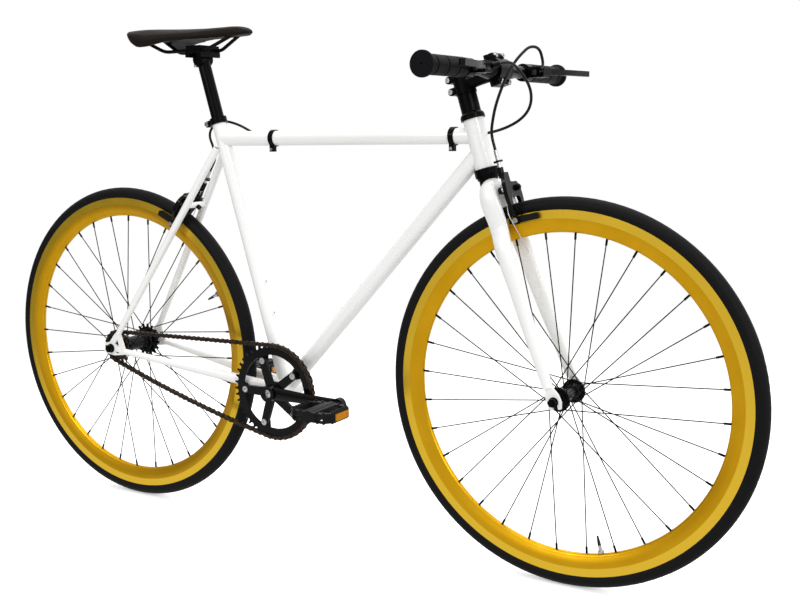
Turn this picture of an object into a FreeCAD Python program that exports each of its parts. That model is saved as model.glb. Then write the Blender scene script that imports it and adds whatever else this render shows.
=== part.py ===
import FreeCAD, Part
import Sketcher
import math
import os
from FreeCAD import Matrix, Placement, Rotation, Vector

# Fixed gear bicycle. Millimetres, X forward, Y to the rider's left, Z up.
# The origin lies on the ground, midway between the two axles.

doc = FreeCAD.newDocument("fixed_gear_bicycle")
sheet = doc.addObject("Spreadsheet::Sheet", "Sizes")

driving_sizes = [
    # Geometry of the frame
    ("wheelbase", 1013),
    ("chainstay_length", 420.9),
    ("bottom_bracket_drop", 53),
    ("head_angle", 74),
    ("seat_angle", 74.2),
    ("fork_rake", 40),
    ("seat_tube_length", 552),
    ("top_tube_drop", 38.5),
    ("down_tube_rise", 31),
    # Frame tubes
    ("seat_tube_diameter", 28.6),
    ("top_tube_diameter", 28.6),
    ("down_tube_diameter", 30),
    ("tube_wall", 1.0),
    ("head_tube_diameter", 36.5),
    ("head_tube_bore", 34),
    ("head_tube_length", 87.6),
    ("shell_diameter", 40),
    ("shell_bore", 34),
    ("shell_width", 68),
    ("stay_wall", 1.2),
    ("chainstay_height", 22),
    ("chainstay_width", 15),
    ("stay_end_diameter", 13),
    ("seatstay_diameter", 15),
    ("seatstay_drop", 56),
    ("bridge_diameter", 12),
    ("dropout_thickness", 5),
    ("dropout_reach", 38),
    ("tyre_clearance", 6),
    ("chain_bridge_setback", 50),
    ("rear_hub_spacing", 120),
    ("front_hub_spacing", 100),
    # Wheels
    ("bead_seat_diameter", 622),
    ("tyre_width", 28),
    ("tyre_wall", 2.4),
    ("bead_wall", 2.2),
    ("tube_section", 20.5),
    ("tube_wall_thickness", 1.0),
    ("rim_width", 23),
    ("rim_depth", 39.5),
    ("rim_wall", 1.1),
    ("rim_flange_height", 6.5),
    ("brake_track_height", 15),
    ("rim_nose_width", 12.4),
    ("spoke_count", 32),
    ("spoke_crosses", 3),
    ("spoke_diameter", 2.0),
    ("nipple_diameter", 4.0),
    ("nipple_length", 13),
    ("front_first_spoke", 8.3),
    ("rear_first_spoke", 9.8),
    ("front_valve_angle", 283.9),
    ("rear_valve_angle", 26.7),
    ("valve_diameter", 6.0),
    ("valve_reach", 30),
    # Hubs
    ("front_flange_diameter", 42),
    ("front_flange_spacing", 68),
    ("front_hub_barrel", 22),
    ("front_axle_diameter", 9),
    ("rear_flange_diameter", 48),
    ("rear_flange_spacing", 62),
    ("rear_hub_barrel", 30),
    ("rear_axle_diameter", 10),
    ("flange_thickness", 3.2),
    ("flange_margin", 4.2),
    ("hub_bearing_diameter", 26),
    ("hub_bearing_width", 7),
    ("sprocket_thread", 34.8),
    # Headset, fork and stem
    ("crown_height", 392),
    ("lower_stack", 18.5),
    ("steerer_diameter", 28.6),
    ("steerer_wall", 2.0),
    ("cup_diameter", 43),
    ("cup_insert", 10),
    ("cup_wall", 1.0),
    ("race_height", 4),
    ("headset_bearing_height", 7),
    ("upper_cup_height", 6),
    ("headset_cover_height", 6),
    ("spacer_stack", 33),
    ("spacer_diameter", 34),
    ("spacer_count", 1),
    ("blade_depth", 36),
    ("blade_width", 22),
    ("blade_wall", 1.4),
    ("blade_tip_depth", 19),
    ("blade_tip_width", 13),
    ("crown_thickness", 34),
    ("crown_offset", 6),
    ("crown_root", 17),
    ("blade_spacing", 61),
    ("tip_height", 24),
    ("tip_offset", 5),
    ("stem_height", 40),
    ("stem_length", 66),
    ("stem_wall", 4.2),
    ("stem_clamp_width", 46),
    ("stem_split", 2),
    ("stem_bolt_diameter", 5),
    # Handlebar and grips
    ("bar_width", 516),
    ("bar_diameter", 22.2),
    ("bar_centre_diameter", 31.8),
    ("bar_wall", 2.0),
    ("grip_length", 130),
    ("grip_diameter", 32),
    ("grip_flange_diameter", 41),
    ("grip_end", 5),
    ("grip_groove", 2),
    ("grip_groove_count", 3),
    # Drive
    ("chain_pitch", 12.7),
    ("chainring_teeth", 46),
    ("sprocket_teeth", 16),
    ("chain_line", 43),
    ("sprocket_thickness", 2.9),
    ("roller_diameter", 7.75),
    ("link_plate_thickness", 1.1),
    ("freewheel_width", 10),
    ("bolt_circle", 130),
    ("bolt_count", 5),
    ("chainring_rim", 19),
    ("chainring_bolt_diameter", 10),
    ("spider_thickness", 6.5),
    ("axle_nut_height", 9),
    ("spindle_diameter", 17),
    ("spindle_length", 112),
    ("spindle_square", 12.6),
    ("crank_length", 170),
    ("crank_flare", 14),
    ("crank_thickness", 13),
    ("pedal_length", 94),
    ("pedal_width", 77),
    ("pedal_height", 25),
    ("pedal_axle_diameter", 12),
    ("pedal_reach", 15.5),
    # Brakes
    ("brake_reach", 55),
    ("brake_height", 364.5),
    ("brake_spacer", 2),
    ("barrel_reach", 36),
    ("wire_tail", 112),
    ("rear_brake_spacer", 3),
    ("pad_gap", 2.0),
    ("pad_length", 50),
    ("pad_height", 11),
    ("pad_thickness", 8),
    ("arm_thickness", 7),
    ("brake_bolt_diameter", 6),
    ("second_pivot", 22),
    ("lever_reach", 64),
    ("lever_span", 141),
    ("lever_thickness", 10),
    ("lever_pin", 5),
    ("bracket_width", 22),
    ("bracket_place", 113),
    ("housing_diameter", 5),
    ("wire_diameter", 1.6),
    ("clip_width", 10),
    ("clip_thickness", 2),
    ("front_clip_place", 293),
    ("rear_clip_place", -100),
    # Seat
    ("seatpost_diameter", 25.4),
    ("seatpost_wall", 2.4),
    ("seatpost_insertion", 90),
    ("seatpost_exposed", 116),
    ("clamp_height", 13),
    ("clamp_wall", 2.6),
    ("saddle_tail", -433),
    ("saddle_length", 286),
    ("saddle_width", 136),
    ("saddle_nose_width", 40),
    ("rail_diameter", 7),
    ("rail_spacing", 44),
    ("boss_spacing", 64),
    ("seat_boss_place", 151),
    ("down_boss_place", 221),
    ("boss_diameter", 9),
    ("boss_bore", 5),
    # Fits
    ("running_clearance", 0.05),
    ("part_gap", 0.3),
]

for row, (alias, value) in enumerate(driving_sizes, 1):
    sheet.set("A%d" % row, alias)
    sheet.set("B%d" % row, str(value))
    sheet.setAlias("B%d" % row, alias)
doc.recompute()


class Size:
    # A value of the sheet, kept both as an expression and as a number.
    def __init__(self, text, value):
        self.text = text
        self.value = value

    def __float__(self):
        return self.value

    def __neg__(self):
        return Size("(0 - %s)" % self.text, -self.value)

    def __add__(self, other):
        other = as_size(other)
        return Size("(%s + %s)" % (self.text, other.text), self.value + other.value)

    def __sub__(self, other):
        other = as_size(other)
        return Size("(%s - %s)" % (self.text, other.text), self.value - other.value)

    def __mul__(self, other):
        other = as_size(other)
        return Size("(%s * %s)" % (self.text, other.text), self.value * other.value)

    def __truediv__(self, other):
        other = as_size(other)
        return Size("(%s / %s)" % (self.text, other.text), self.value / other.value)

    def __rsub__(self, other):
        return as_size(other) - self

    __radd__ = __add__
    __rmul__ = __mul__


def as_size(value):
    if isinstance(value, Size):
        return value
    return Size("(%.9f)" % value, float(value))


def root(value):
    return Size("sqrt(%s)" % value.text, math.sqrt(value.value))


def size(alias):
    return Size("Sizes." + alias, float(sheet.get(alias)))


# Sketches, features and solids

def as_vector(x, y, z):
    return Vector(float(x), float(y), float(z))


def bind(item, path, value):
    item.setExpression(path, as_size(value).text)


def arc_centre(start, end, radius, side):
    middle = (start + end) * 0.5
    chord = end - start
    height = math.sqrt(max(radius * radius - chord.Length * chord.Length / 4, 0))
    normal = Vector(-chord.y, chord.x, 0).normalize()
    return middle + normal * (height * side)


def draw_loop(sketch, loop):
    # A closed loop of corners (across, up), or (across, up, radius, side) where the corner
    # is reached by an arc whose centre lies to the left (side 1) or right (side -1).
    corners = [as_vector(step[0], step[1], 0) for step in loop]
    drawn = []
    for index, step in enumerate(loop):
        start = corners[index - 1]
        end = corners[index]
        if len(step) == 2:
            geometry = sketch.addGeometry(Part.LineSegment(start, end), False)
            drawn.append((geometry, 1, 2))
            continue
        radius = float(step[2])
        centre = arc_centre(start, end, radius, step[3])
        circle = Part.Circle(centre, Vector(0, 0, 1), radius)
        first, last = (start, end) if step[3] > 0 else (end, start)
        first_angle = math.atan2(first.y - centre.y, first.x - centre.x)
        last_angle = math.atan2(last.y - centre.y, last.x - centre.x)
        if last_angle < first_angle:
            last_angle += 2 * math.pi
        geometry = sketch.addGeometry(Part.ArcOfCircle(circle, first_angle, last_angle), False)
        drawn.append((geometry, 1, 2) if step[3] > 0 else (geometry, 2, 1))
    for index, (geometry, begin, finish) in enumerate(drawn):
        following, following_begin, _ = drawn[(index + 1) % len(drawn)]
        sketch.addConstraint(Sketcher.Constraint("Coincident", geometry, finish, following, following_begin))
        fix_point(sketch, geometry, finish, loop[index][0], loop[index][1])
        if len(loop[index]) == 4:
            fix(sketch, Sketcher.Constraint("Radius", geometry, float(loop[index][2])), loop[index][2])


def fix(sketch, constraint, value):
    number = sketch.addConstraint(constraint)
    if isinstance(value, Size):
        sketch.setExpression("Constraints[%d]" % number, value.text)


def fix_point(sketch, geometry, place, across, up):
    if float(across) == 0:
        sketch.addConstraint(Sketcher.Constraint("PointOnObject", geometry, place, -2))
    else:
        fix(sketch, Sketcher.Constraint("DistanceX", -1, 1, geometry, place, float(across)), across)
    if float(up) == 0:
        sketch.addConstraint(Sketcher.Constraint("PointOnObject", geometry, place, -1))
    else:
        fix(sketch, Sketcher.Constraint("DistanceY", -1, 1, geometry, place, float(up)), up)


def draw_circle(sketch, across, up, radius):
    circle = Part.Circle(as_vector(across, up, 0), Vector(0, 0, 1), float(radius))
    geometry = sketch.addGeometry(circle, False)
    fix(sketch, Sketcher.Constraint("Radius", geometry, float(radius)), radius)
    if float(across) == 0 and float(up) == 0:
        sketch.addConstraint(Sketcher.Constraint("Coincident", geometry, 3, -1, 1))
        return
    fix_point(sketch, geometry, 3, across, up)


def add_sketch(body, plane_role, loops, offset=0.0):
    sketch = body.newObject("Sketcher::SketchObject", body.Name + "_sketch")
    plane = [item for item in body.Origin.OriginFeatures if item.Role == plane_role][0]
    sketch.AttachmentSupport = [(plane, "")]
    sketch.MapMode = "FlatFace"
    sketch.AttachmentOffset = Placement(as_vector(0, 0, offset), Rotation())
    for loop in loops:
        if len(loop) == 1:
            draw_circle(sketch, *loop[0])
        else:
            draw_loop(sketch, loop)
    return sketch


def revolve(name, loops, place=Placement()):
    # Loops hold (radius, distance along the axis), and the axis is the body's own Y.
    body = doc.addObject("PartDesign::Body", name)
    sketch = add_sketch(body, "XY_Plane", loops)
    turn = body.newObject("PartDesign::Revolution", name + "_turn")
    turn.Profile = sketch
    turn.ReferenceAxis = (sketch, ["V_Axis"])
    turn.Angle = 360
    body.Placement = place
    return body


def pad(name, loops, thickness, place=Placement(), plane_role="XZ_Plane"):
    # An outline in the body's own XZ plane, thickened by half to each side of it.
    body = doc.addObject("PartDesign::Body", name)
    sketch = add_sketch(body, plane_role, loops)
    feature = body.newObject("PartDesign::Pad", name + "_pad")
    feature.Profile = sketch
    bind(feature, "Length", thickness)
    feature.Midplane = True
    body.Placement = place
    return body


def pocket_ring(body, loops, count, plane_role="XZ_Plane"):
    # Cuts an outline right through the body and repeats it round the axis.
    sketch = add_sketch(body, plane_role, loops)
    feature = body.newObject("PartDesign::Pocket", body.Name + "_pocket")
    feature.Profile = sketch
    feature.Type = "ThroughAll"
    feature.Midplane = True
    pattern = body.newObject("PartDesign::PolarPattern", body.Name + "_ring")
    pattern.Originals = [feature]
    pattern.Axis = (sketch, ["N_Axis"])
    pattern.Angle = 360
    bind(pattern, "Occurrences", count)
    body.Tip = pattern
    return body


def facing(base, axis):
    return Placement(base, Rotation(Vector(0, 0, 1), axis))


def cylinder(name, radius, height, base, axis):
    item = doc.addObject("Part::Cylinder", name)
    bind(item, "Radius", radius)
    bind(item, "Height", height)
    item.Placement = facing(base, axis)
    return item


def tube(name, radius, bore, height, base, axis):
    outer = cylinder(name + "_outer", radius, height, base, axis)
    inner = cylinder(name + "_inner", bore, height, base, axis)
    return cut(name, outer, inner)


def cut(name, base, tool):
    item = doc.addObject("Part::Cut", name)
    item.Base = base
    item.Tool = tool
    return item


def fuse(name, pieces):
    item = doc.addObject("Part::MultiFuse", name)
    item.Shapes = pieces
    return item


def gather(name, pieces):
    # Separate solids that share one node.
    item = doc.addObject("Part::Compound", name)
    item.Links = pieces
    return item


def shaped(name, shape):
    item = doc.addObject("Part::Feature", name)
    item.Shape = shape
    return item


def rounded_path(points, radius):
    # Straight runs joined by tangent arcs of one radius, or of one radius per corner.
    radii = radius if isinstance(radius, list) else [radius] * (len(points) - 2)
    edges = []
    start = points[0]
    for index in range(1, len(points) - 1):
        corner = points[index]
        back = (points[index - 1] - corner).normalize()
        ahead = (points[index + 1] - corner).normalize()
        half_turn = (math.pi - back.getAngle(ahead)) / 2
        reach = radii[index - 1] * math.tan(half_turn)
        first = corner + back * reach
        last = corner + ahead * reach
        middle_ray = (back + ahead).normalize()
        middle = corner + middle_ray * (radii[index - 1] * (1 / math.cos(half_turn) - 1))
        if (first - start).Length > 1e-6:
            edges.append(Part.LineSegment(start, first).toShape())
        edges.append(Part.Arc(first, middle, last).toShape())
        start = last
    edges.append(Part.LineSegment(start, points[-1]).toShape())
    return Part.Wire(edges)


def rod(points, bend, radius):
    path = rounded_path(points, bend)
    section = Part.Wire([Part.makeCircle(float(radius), points[0], points[1] - points[0])])
    return path.makePipeShell([section], True, False)


def oval(centre, normal, forward, half_depth, half_width):
    # A ring of the given half sizes, square to the normal, with its start towards forward.
    third = normal.cross(forward).normalize()
    first = third.cross(normal).normalize() * float(half_depth)
    second = third * float(half_width)
    axis = normal * 1.0
    matrix = Matrix(first.x, second.x, axis.x, centre.x,
                    first.y, second.y, axis.y, centre.y,
                    first.z, second.z, axis.z, centre.z,
                    0, 0, 0, 1)
    ring = Part.makeCircle(1.0).transformGeometry(matrix)
    return Part.Wire([ring])


def loft(stations, forward):
    # Stations are (centre, normal, half depth, half width).
    rings = [oval(centre, Vector(normal).normalize(), forward, depth, width)
             for centre, normal, depth, width in stations]
    return Part.makeLoft(rings, True, False)


def turned(shape, centre, axis, angle):
    copy = shape.copy()
    copy.rotate(centre, axis, angle)
    return copy


nodes = {}


def node(label, item):
    item.Label = label
    nodes[label] = item
    return item


# Places shared by the pieces

bead_radius = size("bead_seat_diameter") / 2
wheel_radius = bead_radius + size("tyre_width")
axle_height = float(wheel_radius)
front_x = float(size("wheelbase")) / 2
rear_x = -front_x
left = Vector(0, 1, 0)
up = Vector(0, 0, 1)
front_axle_point = Vector(front_x, 0, axle_height)
rear_axle_point = Vector(rear_x, 0, axle_height)
gap = size("part_gap")
running = size("running_clearance")


# Wheels

def make_tyre(label, place):
    wall = size("tyre_wall")
    section = size("tyre_width") / 2
    middle = bead_radius + section
    seat = bead_radius + gap
    shoulder = bead_radius + size("rim_flange_height") + gap
    outer_half = root(section * section - (middle - shoulder) * (middle - shoulder))
    bead_outer = size("rim_width") / 2 - size("rim_wall") - gap
    bead_inner = bead_outer - size("bead_wall")
    inside = section - wall
    inner_shoulder = middle - root(inside * inside - bead_inner * bead_inner)
    loop = [
        (seat, -bead_outer),
        (shoulder, -bead_outer),
        (shoulder, -outer_half),
        (middle + section, 0, section, 1),
        (shoulder, outer_half, section, 1),
        (shoulder, bead_outer),
        (seat, bead_outer),
        (seat, bead_inner),
        (inner_shoulder, bead_inner),
        (middle + inside, 0, inside, -1),
        (inner_shoulder, -bead_inner, inside, -1),
        (seat, -bead_inner),
    ]
    node(label, revolve(label, [loop], place))


def rim_loops():
    half = size("rim_width") / 2
    wall = size("rim_wall")
    top = bead_radius + size("rim_flange_height")
    bed = bead_radius - wall
    track = top - size("brake_track_height")
    nose_half = size("rim_nose_width") / 2
    nose = top - size("rim_depth") + nose_half
    nose_round = nose_half * 1.01
    side_round = size("rim_depth") * 1.6
    outside = [
        (top, -half),
        (top, wall - half),
        (bed, wall - half),
        (bed, half - wall),
        (top, half - wall),
        (top, half),
        (track, half),
        (nose, nose_half, side_round, 1),
        (nose, -nose_half, nose_round, 1),
        (track, -half, side_round, 1),
    ]
    inner_half = half - wall
    chamber_half = nose_half - wall
    chamber_top = bed - wall
    chamber = [
        (chamber_top, -inner_half),
        (chamber_top, inner_half),
        (track, inner_half),
        (nose, chamber_half, side_round, 1),
        (nose, -chamber_half, chamber_half * 1.01, 1),
        (track, -inner_half, side_round, 1),
    ]
    return [outside, chamber]


def around(centre, radius, angle, y):
    turn = math.radians(angle)
    return Vector(centre.x + radius * math.cos(turn), y, centre.z + radius * math.sin(turn))


def spoke_layout(flange_diameter, flange_spacing, first_angle):
    # Two spokes of each flange, one trailing and one leading; the rest repeat them.
    count = int(float(size("spoke_count")))
    step = 360.0 / count
    lean = float(size("spoke_crosses")) * 2 * step
    hole_radius = float(size(flange_diameter)) / 2 - float(size("flange_margin"))
    flange = float(size(flange_spacing)) / 2
    layout = []
    for index, side in enumerate((1, -1)):
        for pair, sign in enumerate((1, -1)):
            rim_angle = float(size(first_angle)) + step * (index + 2 * pair)
            layout.append((rim_angle, rim_angle + sign * lean, hole_radius, side * flange, -sign * side))
    return layout


def make_spokes(prefix, centre, layout):
    # Spokes hook through the flange and screw into nipples that point along them.
    radius = float(size("spoke_diameter")) / 2
    rim_inside = float(bead_radius + size("rim_flange_height") - size("rim_depth"))
    half_flange = float(size("flange_thickness")) / 2
    head_gap = float(running)
    seat_radius = rim_inside + float(size("rim_wall")) * 2.5
    nipple_radius = float(size("nipple_diameter")) / 2
    nipple_length = float(size("nipple_length"))
    head_height = nipple_radius
    rim_offset = float(size("rim_nose_width")) / 16
    elbow = 2.2 * radius
    spokes = []
    nipples = []
    drills = []
    repeats = int(float(size("spoke_count"))) // len(layout)
    for rim_angle, hub_angle, hole_radius, flange_y, facing_side in layout:
        near_face = half_flange + elbow + head_gap
        far_face = half_flange + radius + head_gap
        near = around(centre, hole_radius, hub_angle, flange_y + facing_side * near_face)
        far = around(centre, hole_radius, hub_angle, flange_y - facing_side * far_face)
        tip = around(centre, seat_radius, rim_angle, math.copysign(rim_offset, flange_y))
        along = (tip - near).normalize()
        shank = rod([far, near, tip], elbow, radius)
        head = Part.makeCylinder(2 * radius, radius, far, near - far)
        head.translate((far - near).normalize() * radius)
        spoke = shank.fuse(head)
        bore = radius + float(running)
        nipple = Part.makeCylinder(nipple_radius, nipple_length, tip - along * nipple_length, along)
        nipple = nipple.fuse(Part.makeCylinder(nipple_radius * 1.4, head_height, tip, along))
        nipple = nipple.cut(Part.makeCylinder(bore, 2 * nipple_length, tip - along * nipple_length, along))
        drill_length = float(size("rim_depth"))
        drill = Part.makeCylinder(nipple_radius * 1.08, drill_length, tip - along * (drill_length / 3), along)
        for repeat in range(repeats):
            turn = 360.0 * repeat / repeats
            spokes.append(turned(spoke, centre, -left, turn))
            nipples.append(turned(nipple, centre, -left, turn))
            drills.append(turned(drill, centre, -left, turn))
    node(prefix + "_spokes", shaped(prefix + "_spokes", Part.Compound(spokes + nipples)))
    return drills


def make_rim(prefix, centre, drills, valve_angle):
    blank = revolve(prefix + "_rim_section", rim_loops(), Placement(centre, Rotation()))
    outward = around(Vector(), 1, float(size(valve_angle)), 0)
    hole = Part.makeCylinder(float(size("valve_diameter")) / 2 + float(gap), float(bead_radius), centre, outward)
    holes = shaped(prefix + "_rim_holes", Part.Compound(drills + [hole]))
    node(prefix + "_rim", cut(prefix + "_rim", blank, holes))


def make_inner_tube(prefix, centre, valve_angle):
    outer = size("tube_section") / 2
    middle = bead_radius + size("tyre_width") / 2
    inner = outer - size("tube_wall_thickness")
    ring = [(middle, -outer), (middle + outer, 0, outer, 1), (middle, outer, outer, 1),
            (middle - outer, 0, outer, 1), (middle, -outer, outer, 1)]
    hollow = [(middle, -inner), (middle + inner, 0, inner, 1), (middle, inner, inner, 1),
              (middle - inner, 0, inner, 1), (middle, -inner, inner, 1)]
    tube_ring = revolve(prefix + "_tube_ring", [ring[1:], hollow[1:]], Placement(centre, Rotation()))
    angle = float(size(valve_angle))
    outward = around(Vector(), 1, angle, 0)
    nose = bead_radius + size("rim_flange_height") - size("rim_depth")
    stem_radius = size("valve_diameter") / 2
    reach = size("valve_reach")
    cap_length = reach * 0.55
    start = float(nose - reach + cap_length)
    stem_length = middle - outer + size("tube_wall_thickness") / 2 - (nose - reach + cap_length)
    stem = cylinder(prefix + "_valve_stem", stem_radius, stem_length, centre + outward * start, outward)
    nut_height = reach * 0.13
    nut_base = centre + outward * float(nose - nut_height - running)
    nut = tube(prefix + "_valve_nut", stem_radius * 1.9, stem_radius + running, nut_height, nut_base, outward)
    cap_base = centre + outward * float(nose - reach)
    cap = doc.addObject("Part::Cone", prefix + "_valve_cap")
    bind(cap, "Radius1", stem_radius * 0.55)
    bind(cap, "Radius2", stem_radius * 1.05)
    bind(cap, "Height", cap_length)
    cap.Placement = facing(cap_base, outward)
    with_valve = fuse(prefix + "_tube_with_valve", [tube_ring, stem])
    node(prefix + "_inner_tube", gather(prefix + "_inner_tube", [with_valve, nut, cap]))


def hub_loop(barrel, flange_diameter, flange_spacing, shell_half, boss_radius):
    # Half widths are measured from the middle of the hub.
    bearing = size("hub_bearing_diameter") / 2 + running
    bore = size("rear_axle_diameter") * 0.75
    flange = size(flange_diameter) / 2
    inner_face = size(flange_spacing) / 2 - size("flange_thickness") / 2
    outer_face = size(flange_spacing) / 2 + size("flange_thickness") / 2
    seat = shell_half - size("hub_bearing_width")
    waist = size(barrel) / 2
    neck = inner_face - size("flange_thickness") * 2
    right_half = [
        (bore, -seat),
        (bearing, -seat),
        (bearing, -shell_half),
        (boss_radius, -shell_half),
        (boss_radius, -outer_face),
        (flange, -outer_face),
        (flange, -inner_face),
        (boss_radius, -inner_face),
        (waist, -neck),
    ]
    left_half = [(step[0], -step[1]) for step in reversed(right_half)]
    return right_half + left_half


def make_hub(label, centre, loop, layout):
    blank = revolve(label + "_shell", [loop], Placement(centre, Rotation()))
    hole = float(size("spoke_diameter")) / 2 + float(running) * 4
    width = float(size("flange_thickness"))
    count = int(float(size("spoke_count"))) // 2
    drills = []
    for rim_angle, hub_angle, hole_radius, flange_y, facing_side in (layout[0], layout[2]):
        start = around(centre, hole_radius, hub_angle, flange_y - width)
        drill = Part.makeCylinder(hole, 2 * width, start, left)
        for index in range(count):
            drills.append(turned(drill, centre, left, 360.0 * index / count))
    holes = shaped(label + "_spoke_holes", Part.Compound(drills))
    return cut(label, blank, holes)


def bearing_ring(name, centre_y, wheel_centre, bore):
    half = size("hub_bearing_width") / 2
    outer = size("hub_bearing_diameter") / 2
    inner = size(bore) / 2 + running
    loop = [(inner, -half), (outer, -half), (outer, half), (inner, half)]
    return revolve(name, [loop], Placement(wheel_centre + left * centre_y, Rotation()))


def make_wheel(prefix, centre, first_angle, valve_angle, barrel, flange, spacing, shell_half, boss, axle):
    layout = spoke_layout(flange, spacing, first_angle)
    make_tyre(prefix + "_tyre", Placement(centre, Rotation()))
    make_inner_tube(prefix, centre, valve_angle)
    drills = make_spokes(prefix, centre, layout)
    make_rim(prefix, centre, drills, valve_angle)
    shell = make_hub(prefix + "_hub_body", centre, hub_loop(barrel, flange, spacing, shell_half, boss), layout)
    seat = float(shell_half - size("hub_bearing_width") / 2)
    rings = [bearing_ring(prefix + "_bearing_" + side, sign * seat, centre, axle)
             for side, sign in (("left", 1), ("right", -1))]
    node(prefix + "_hub", gather(prefix + "_hub", [shell] + rings))


front_shell_half = size("front_flange_spacing") / 2 + size("flange_thickness") * 2
rear_shell_half = size("rear_hub_spacing") * 0.4
make_wheel("front", front_axle_point, "front_first_spoke", "front_valve_angle", "front_hub_barrel",
           "front_flange_diameter", "front_flange_spacing", front_shell_half,
           size("hub_bearing_diameter") / 2 + 2, "front_axle_diameter")
make_wheel("rear", rear_axle_point, "rear_first_spoke", "rear_valve_angle", "rear_hub_barrel",
           "rear_flange_diameter", "rear_flange_spacing", rear_shell_half,
           size("sprocket_thread") / 2, "rear_axle_diameter")


# Frame

def angle_of(alias):
    return math.radians(float(size(alias)))


bracket_drop = float(size("bottom_bracket_drop"))
bracket_setback = math.sqrt(float(size("chainstay_length")) ** 2 - bracket_drop ** 2)
bracket_point = Vector(rear_x + bracket_setback, 0, axle_height - bracket_drop)
steer_up = Vector(-math.cos(angle_of("head_angle")), 0, math.sin(angle_of("head_angle")))
steer_ahead = Vector(math.sin(angle_of("head_angle")), 0, math.cos(angle_of("head_angle")))
steer_foot = front_axle_point - steer_ahead * float(size("fork_rake"))
seat_up = Vector(-math.cos(angle_of("seat_angle")), 0, math.sin(angle_of("seat_angle")))
seat_back = Vector(-math.sin(angle_of("seat_angle")), 0, -math.cos(angle_of("seat_angle")))
seat_top = bracket_point + seat_up * float(size("seat_tube_length"))


def steer(along, ahead=0.0, side=0.0):
    # A point given along the steering axis, ahead of it and to the left of it.
    return steer_foot + steer_up * float(along) + steer_ahead * float(ahead) + left * float(side)


def framed(base, ahead, aside, above):
    # A placement whose own X, Y and Z point along the three given directions.
    return Placement(base, Rotation(ahead, aside, above))


def block(name, length, width, height, place, ahead=0.0, aside=0.0, above=0.0):
    # A box centred on the placement, then moved along its own axes.
    item = doc.addObject("Part::Box", name)
    bind(item, "Length", length)
    bind(item, "Width", width)
    bind(item, "Height", height)
    corner = Vector(float(ahead) - float(length) / 2, float(aside) - float(width) / 2, float(above) - float(height) / 2)
    item.Placement = place.multiply(Placement(corner, Rotation()))
    return item


def mitred_tube(label, diameter, wall, start, end, neighbours):
    run = end - start
    outer = cylinder(label + "_outer", diameter / 2, run.Length, start, run)
    inner = cylinder(label + "_inner", diameter / 2 - wall, run.Length, start, run)
    mitre = fuse(label + "_mitre", neighbours)
    node(label, cut(label, cut(label + "_wall", outer, inner), mitre))
    return outer


head_base = size("crown_height") + size("lower_stack")
head_top = head_base + size("head_tube_length")
head_outer = cylinder("head_tube_outer", size("head_tube_diameter") / 2, size("head_tube_length"),
                      steer(head_base), steer_up)
head_inner = cylinder("head_tube_inner", size("head_tube_bore") / 2, size("head_tube_length"),
                      steer(head_base), steer_up)
node("head_tube", cut("head_tube", head_outer, head_inner))

shell_start = bracket_point - left * (float(size("shell_width")) / 2)
shell_outer = cylinder("shell_outer", size("shell_diameter") / 2, size("shell_width"), shell_start, left)
shell_inner = cylinder("shell_inner", size("shell_bore") / 2, size("shell_width"), shell_start, left)
node("bottom_bracket_shell", cut("bottom_bracket_shell", shell_outer, shell_inner))


def make_bosses(prefix, points, outward, depth):
    # Threaded inserts for a bottle cage, set into the wall of a tube.
    bodies = [cylinder("%s_boss_%d" % (prefix, index), size("boss_diameter") / 2, depth, point - outward * 5, outward)
              for index, point in enumerate(points)]
    bores = [cylinder("%s_boss_bore_%d" % (prefix, index), size("boss_bore") / 2, depth, point - outward * 5, outward)
             for index, point in enumerate(points)]
    return bodies, bores


seat_wall = size("seat_tube_diameter") / 2 - size("seatpost_diameter") / 2 - running
boss_depth = 6.5
seat_front = seat_back * -1.0
down_end = steer(head_base + size("down_tube_rise"))
down_run = (down_end - bracket_point).normalize()
down_top = Vector(-down_run.z, 0, down_run.x)
seat_half = float(size("seat_tube_diameter")) / 2
down_half = float(size("down_tube_diameter")) / 2
seat_boss_points = [bracket_point + seat_up * float(distance) + seat_front * seat_half
                    for distance in (size("seat_boss_place"), size("seat_boss_place") + size("boss_spacing"))]
down_boss_points = [bracket_point + down_run * float(distance) + down_top * down_half
                    for distance in (size("down_boss_place"), size("down_boss_place") + size("boss_spacing"))]
seat_bosses, seat_boss_bores = make_bosses("seat", seat_boss_points, seat_front, boss_depth)
down_bosses, down_boss_bores = make_bosses("down", down_boss_points, down_top, boss_depth)
node("bottle_bosses", cut("bottle_bosses", gather("boss_bodies", seat_bosses + down_bosses),
                          gather("boss_bores", seat_boss_bores + down_boss_bores)))

seat_outer = mitred_tube("seat_tube", size("seat_tube_diameter"), seat_wall, bracket_point, seat_top,
                         [shell_outer] + seat_bosses)
mitred_tube("down_tube", size("down_tube_diameter"), size("tube_wall"), bracket_point, down_end,
            [shell_outer, seat_outer, head_outer] + down_bosses)
top_height = seat_top.z - float(size("top_tube_drop"))
top_start = bracket_point + seat_up * ((top_height - bracket_point.z) / seat_up.z)
top_end = steer((top_height - steer_foot.z) / steer_up.z)
mitred_tube("top_tube", size("top_tube_diameter"), size("tube_wall"), top_start, top_end,
            [seat_outer, head_outer])


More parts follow.
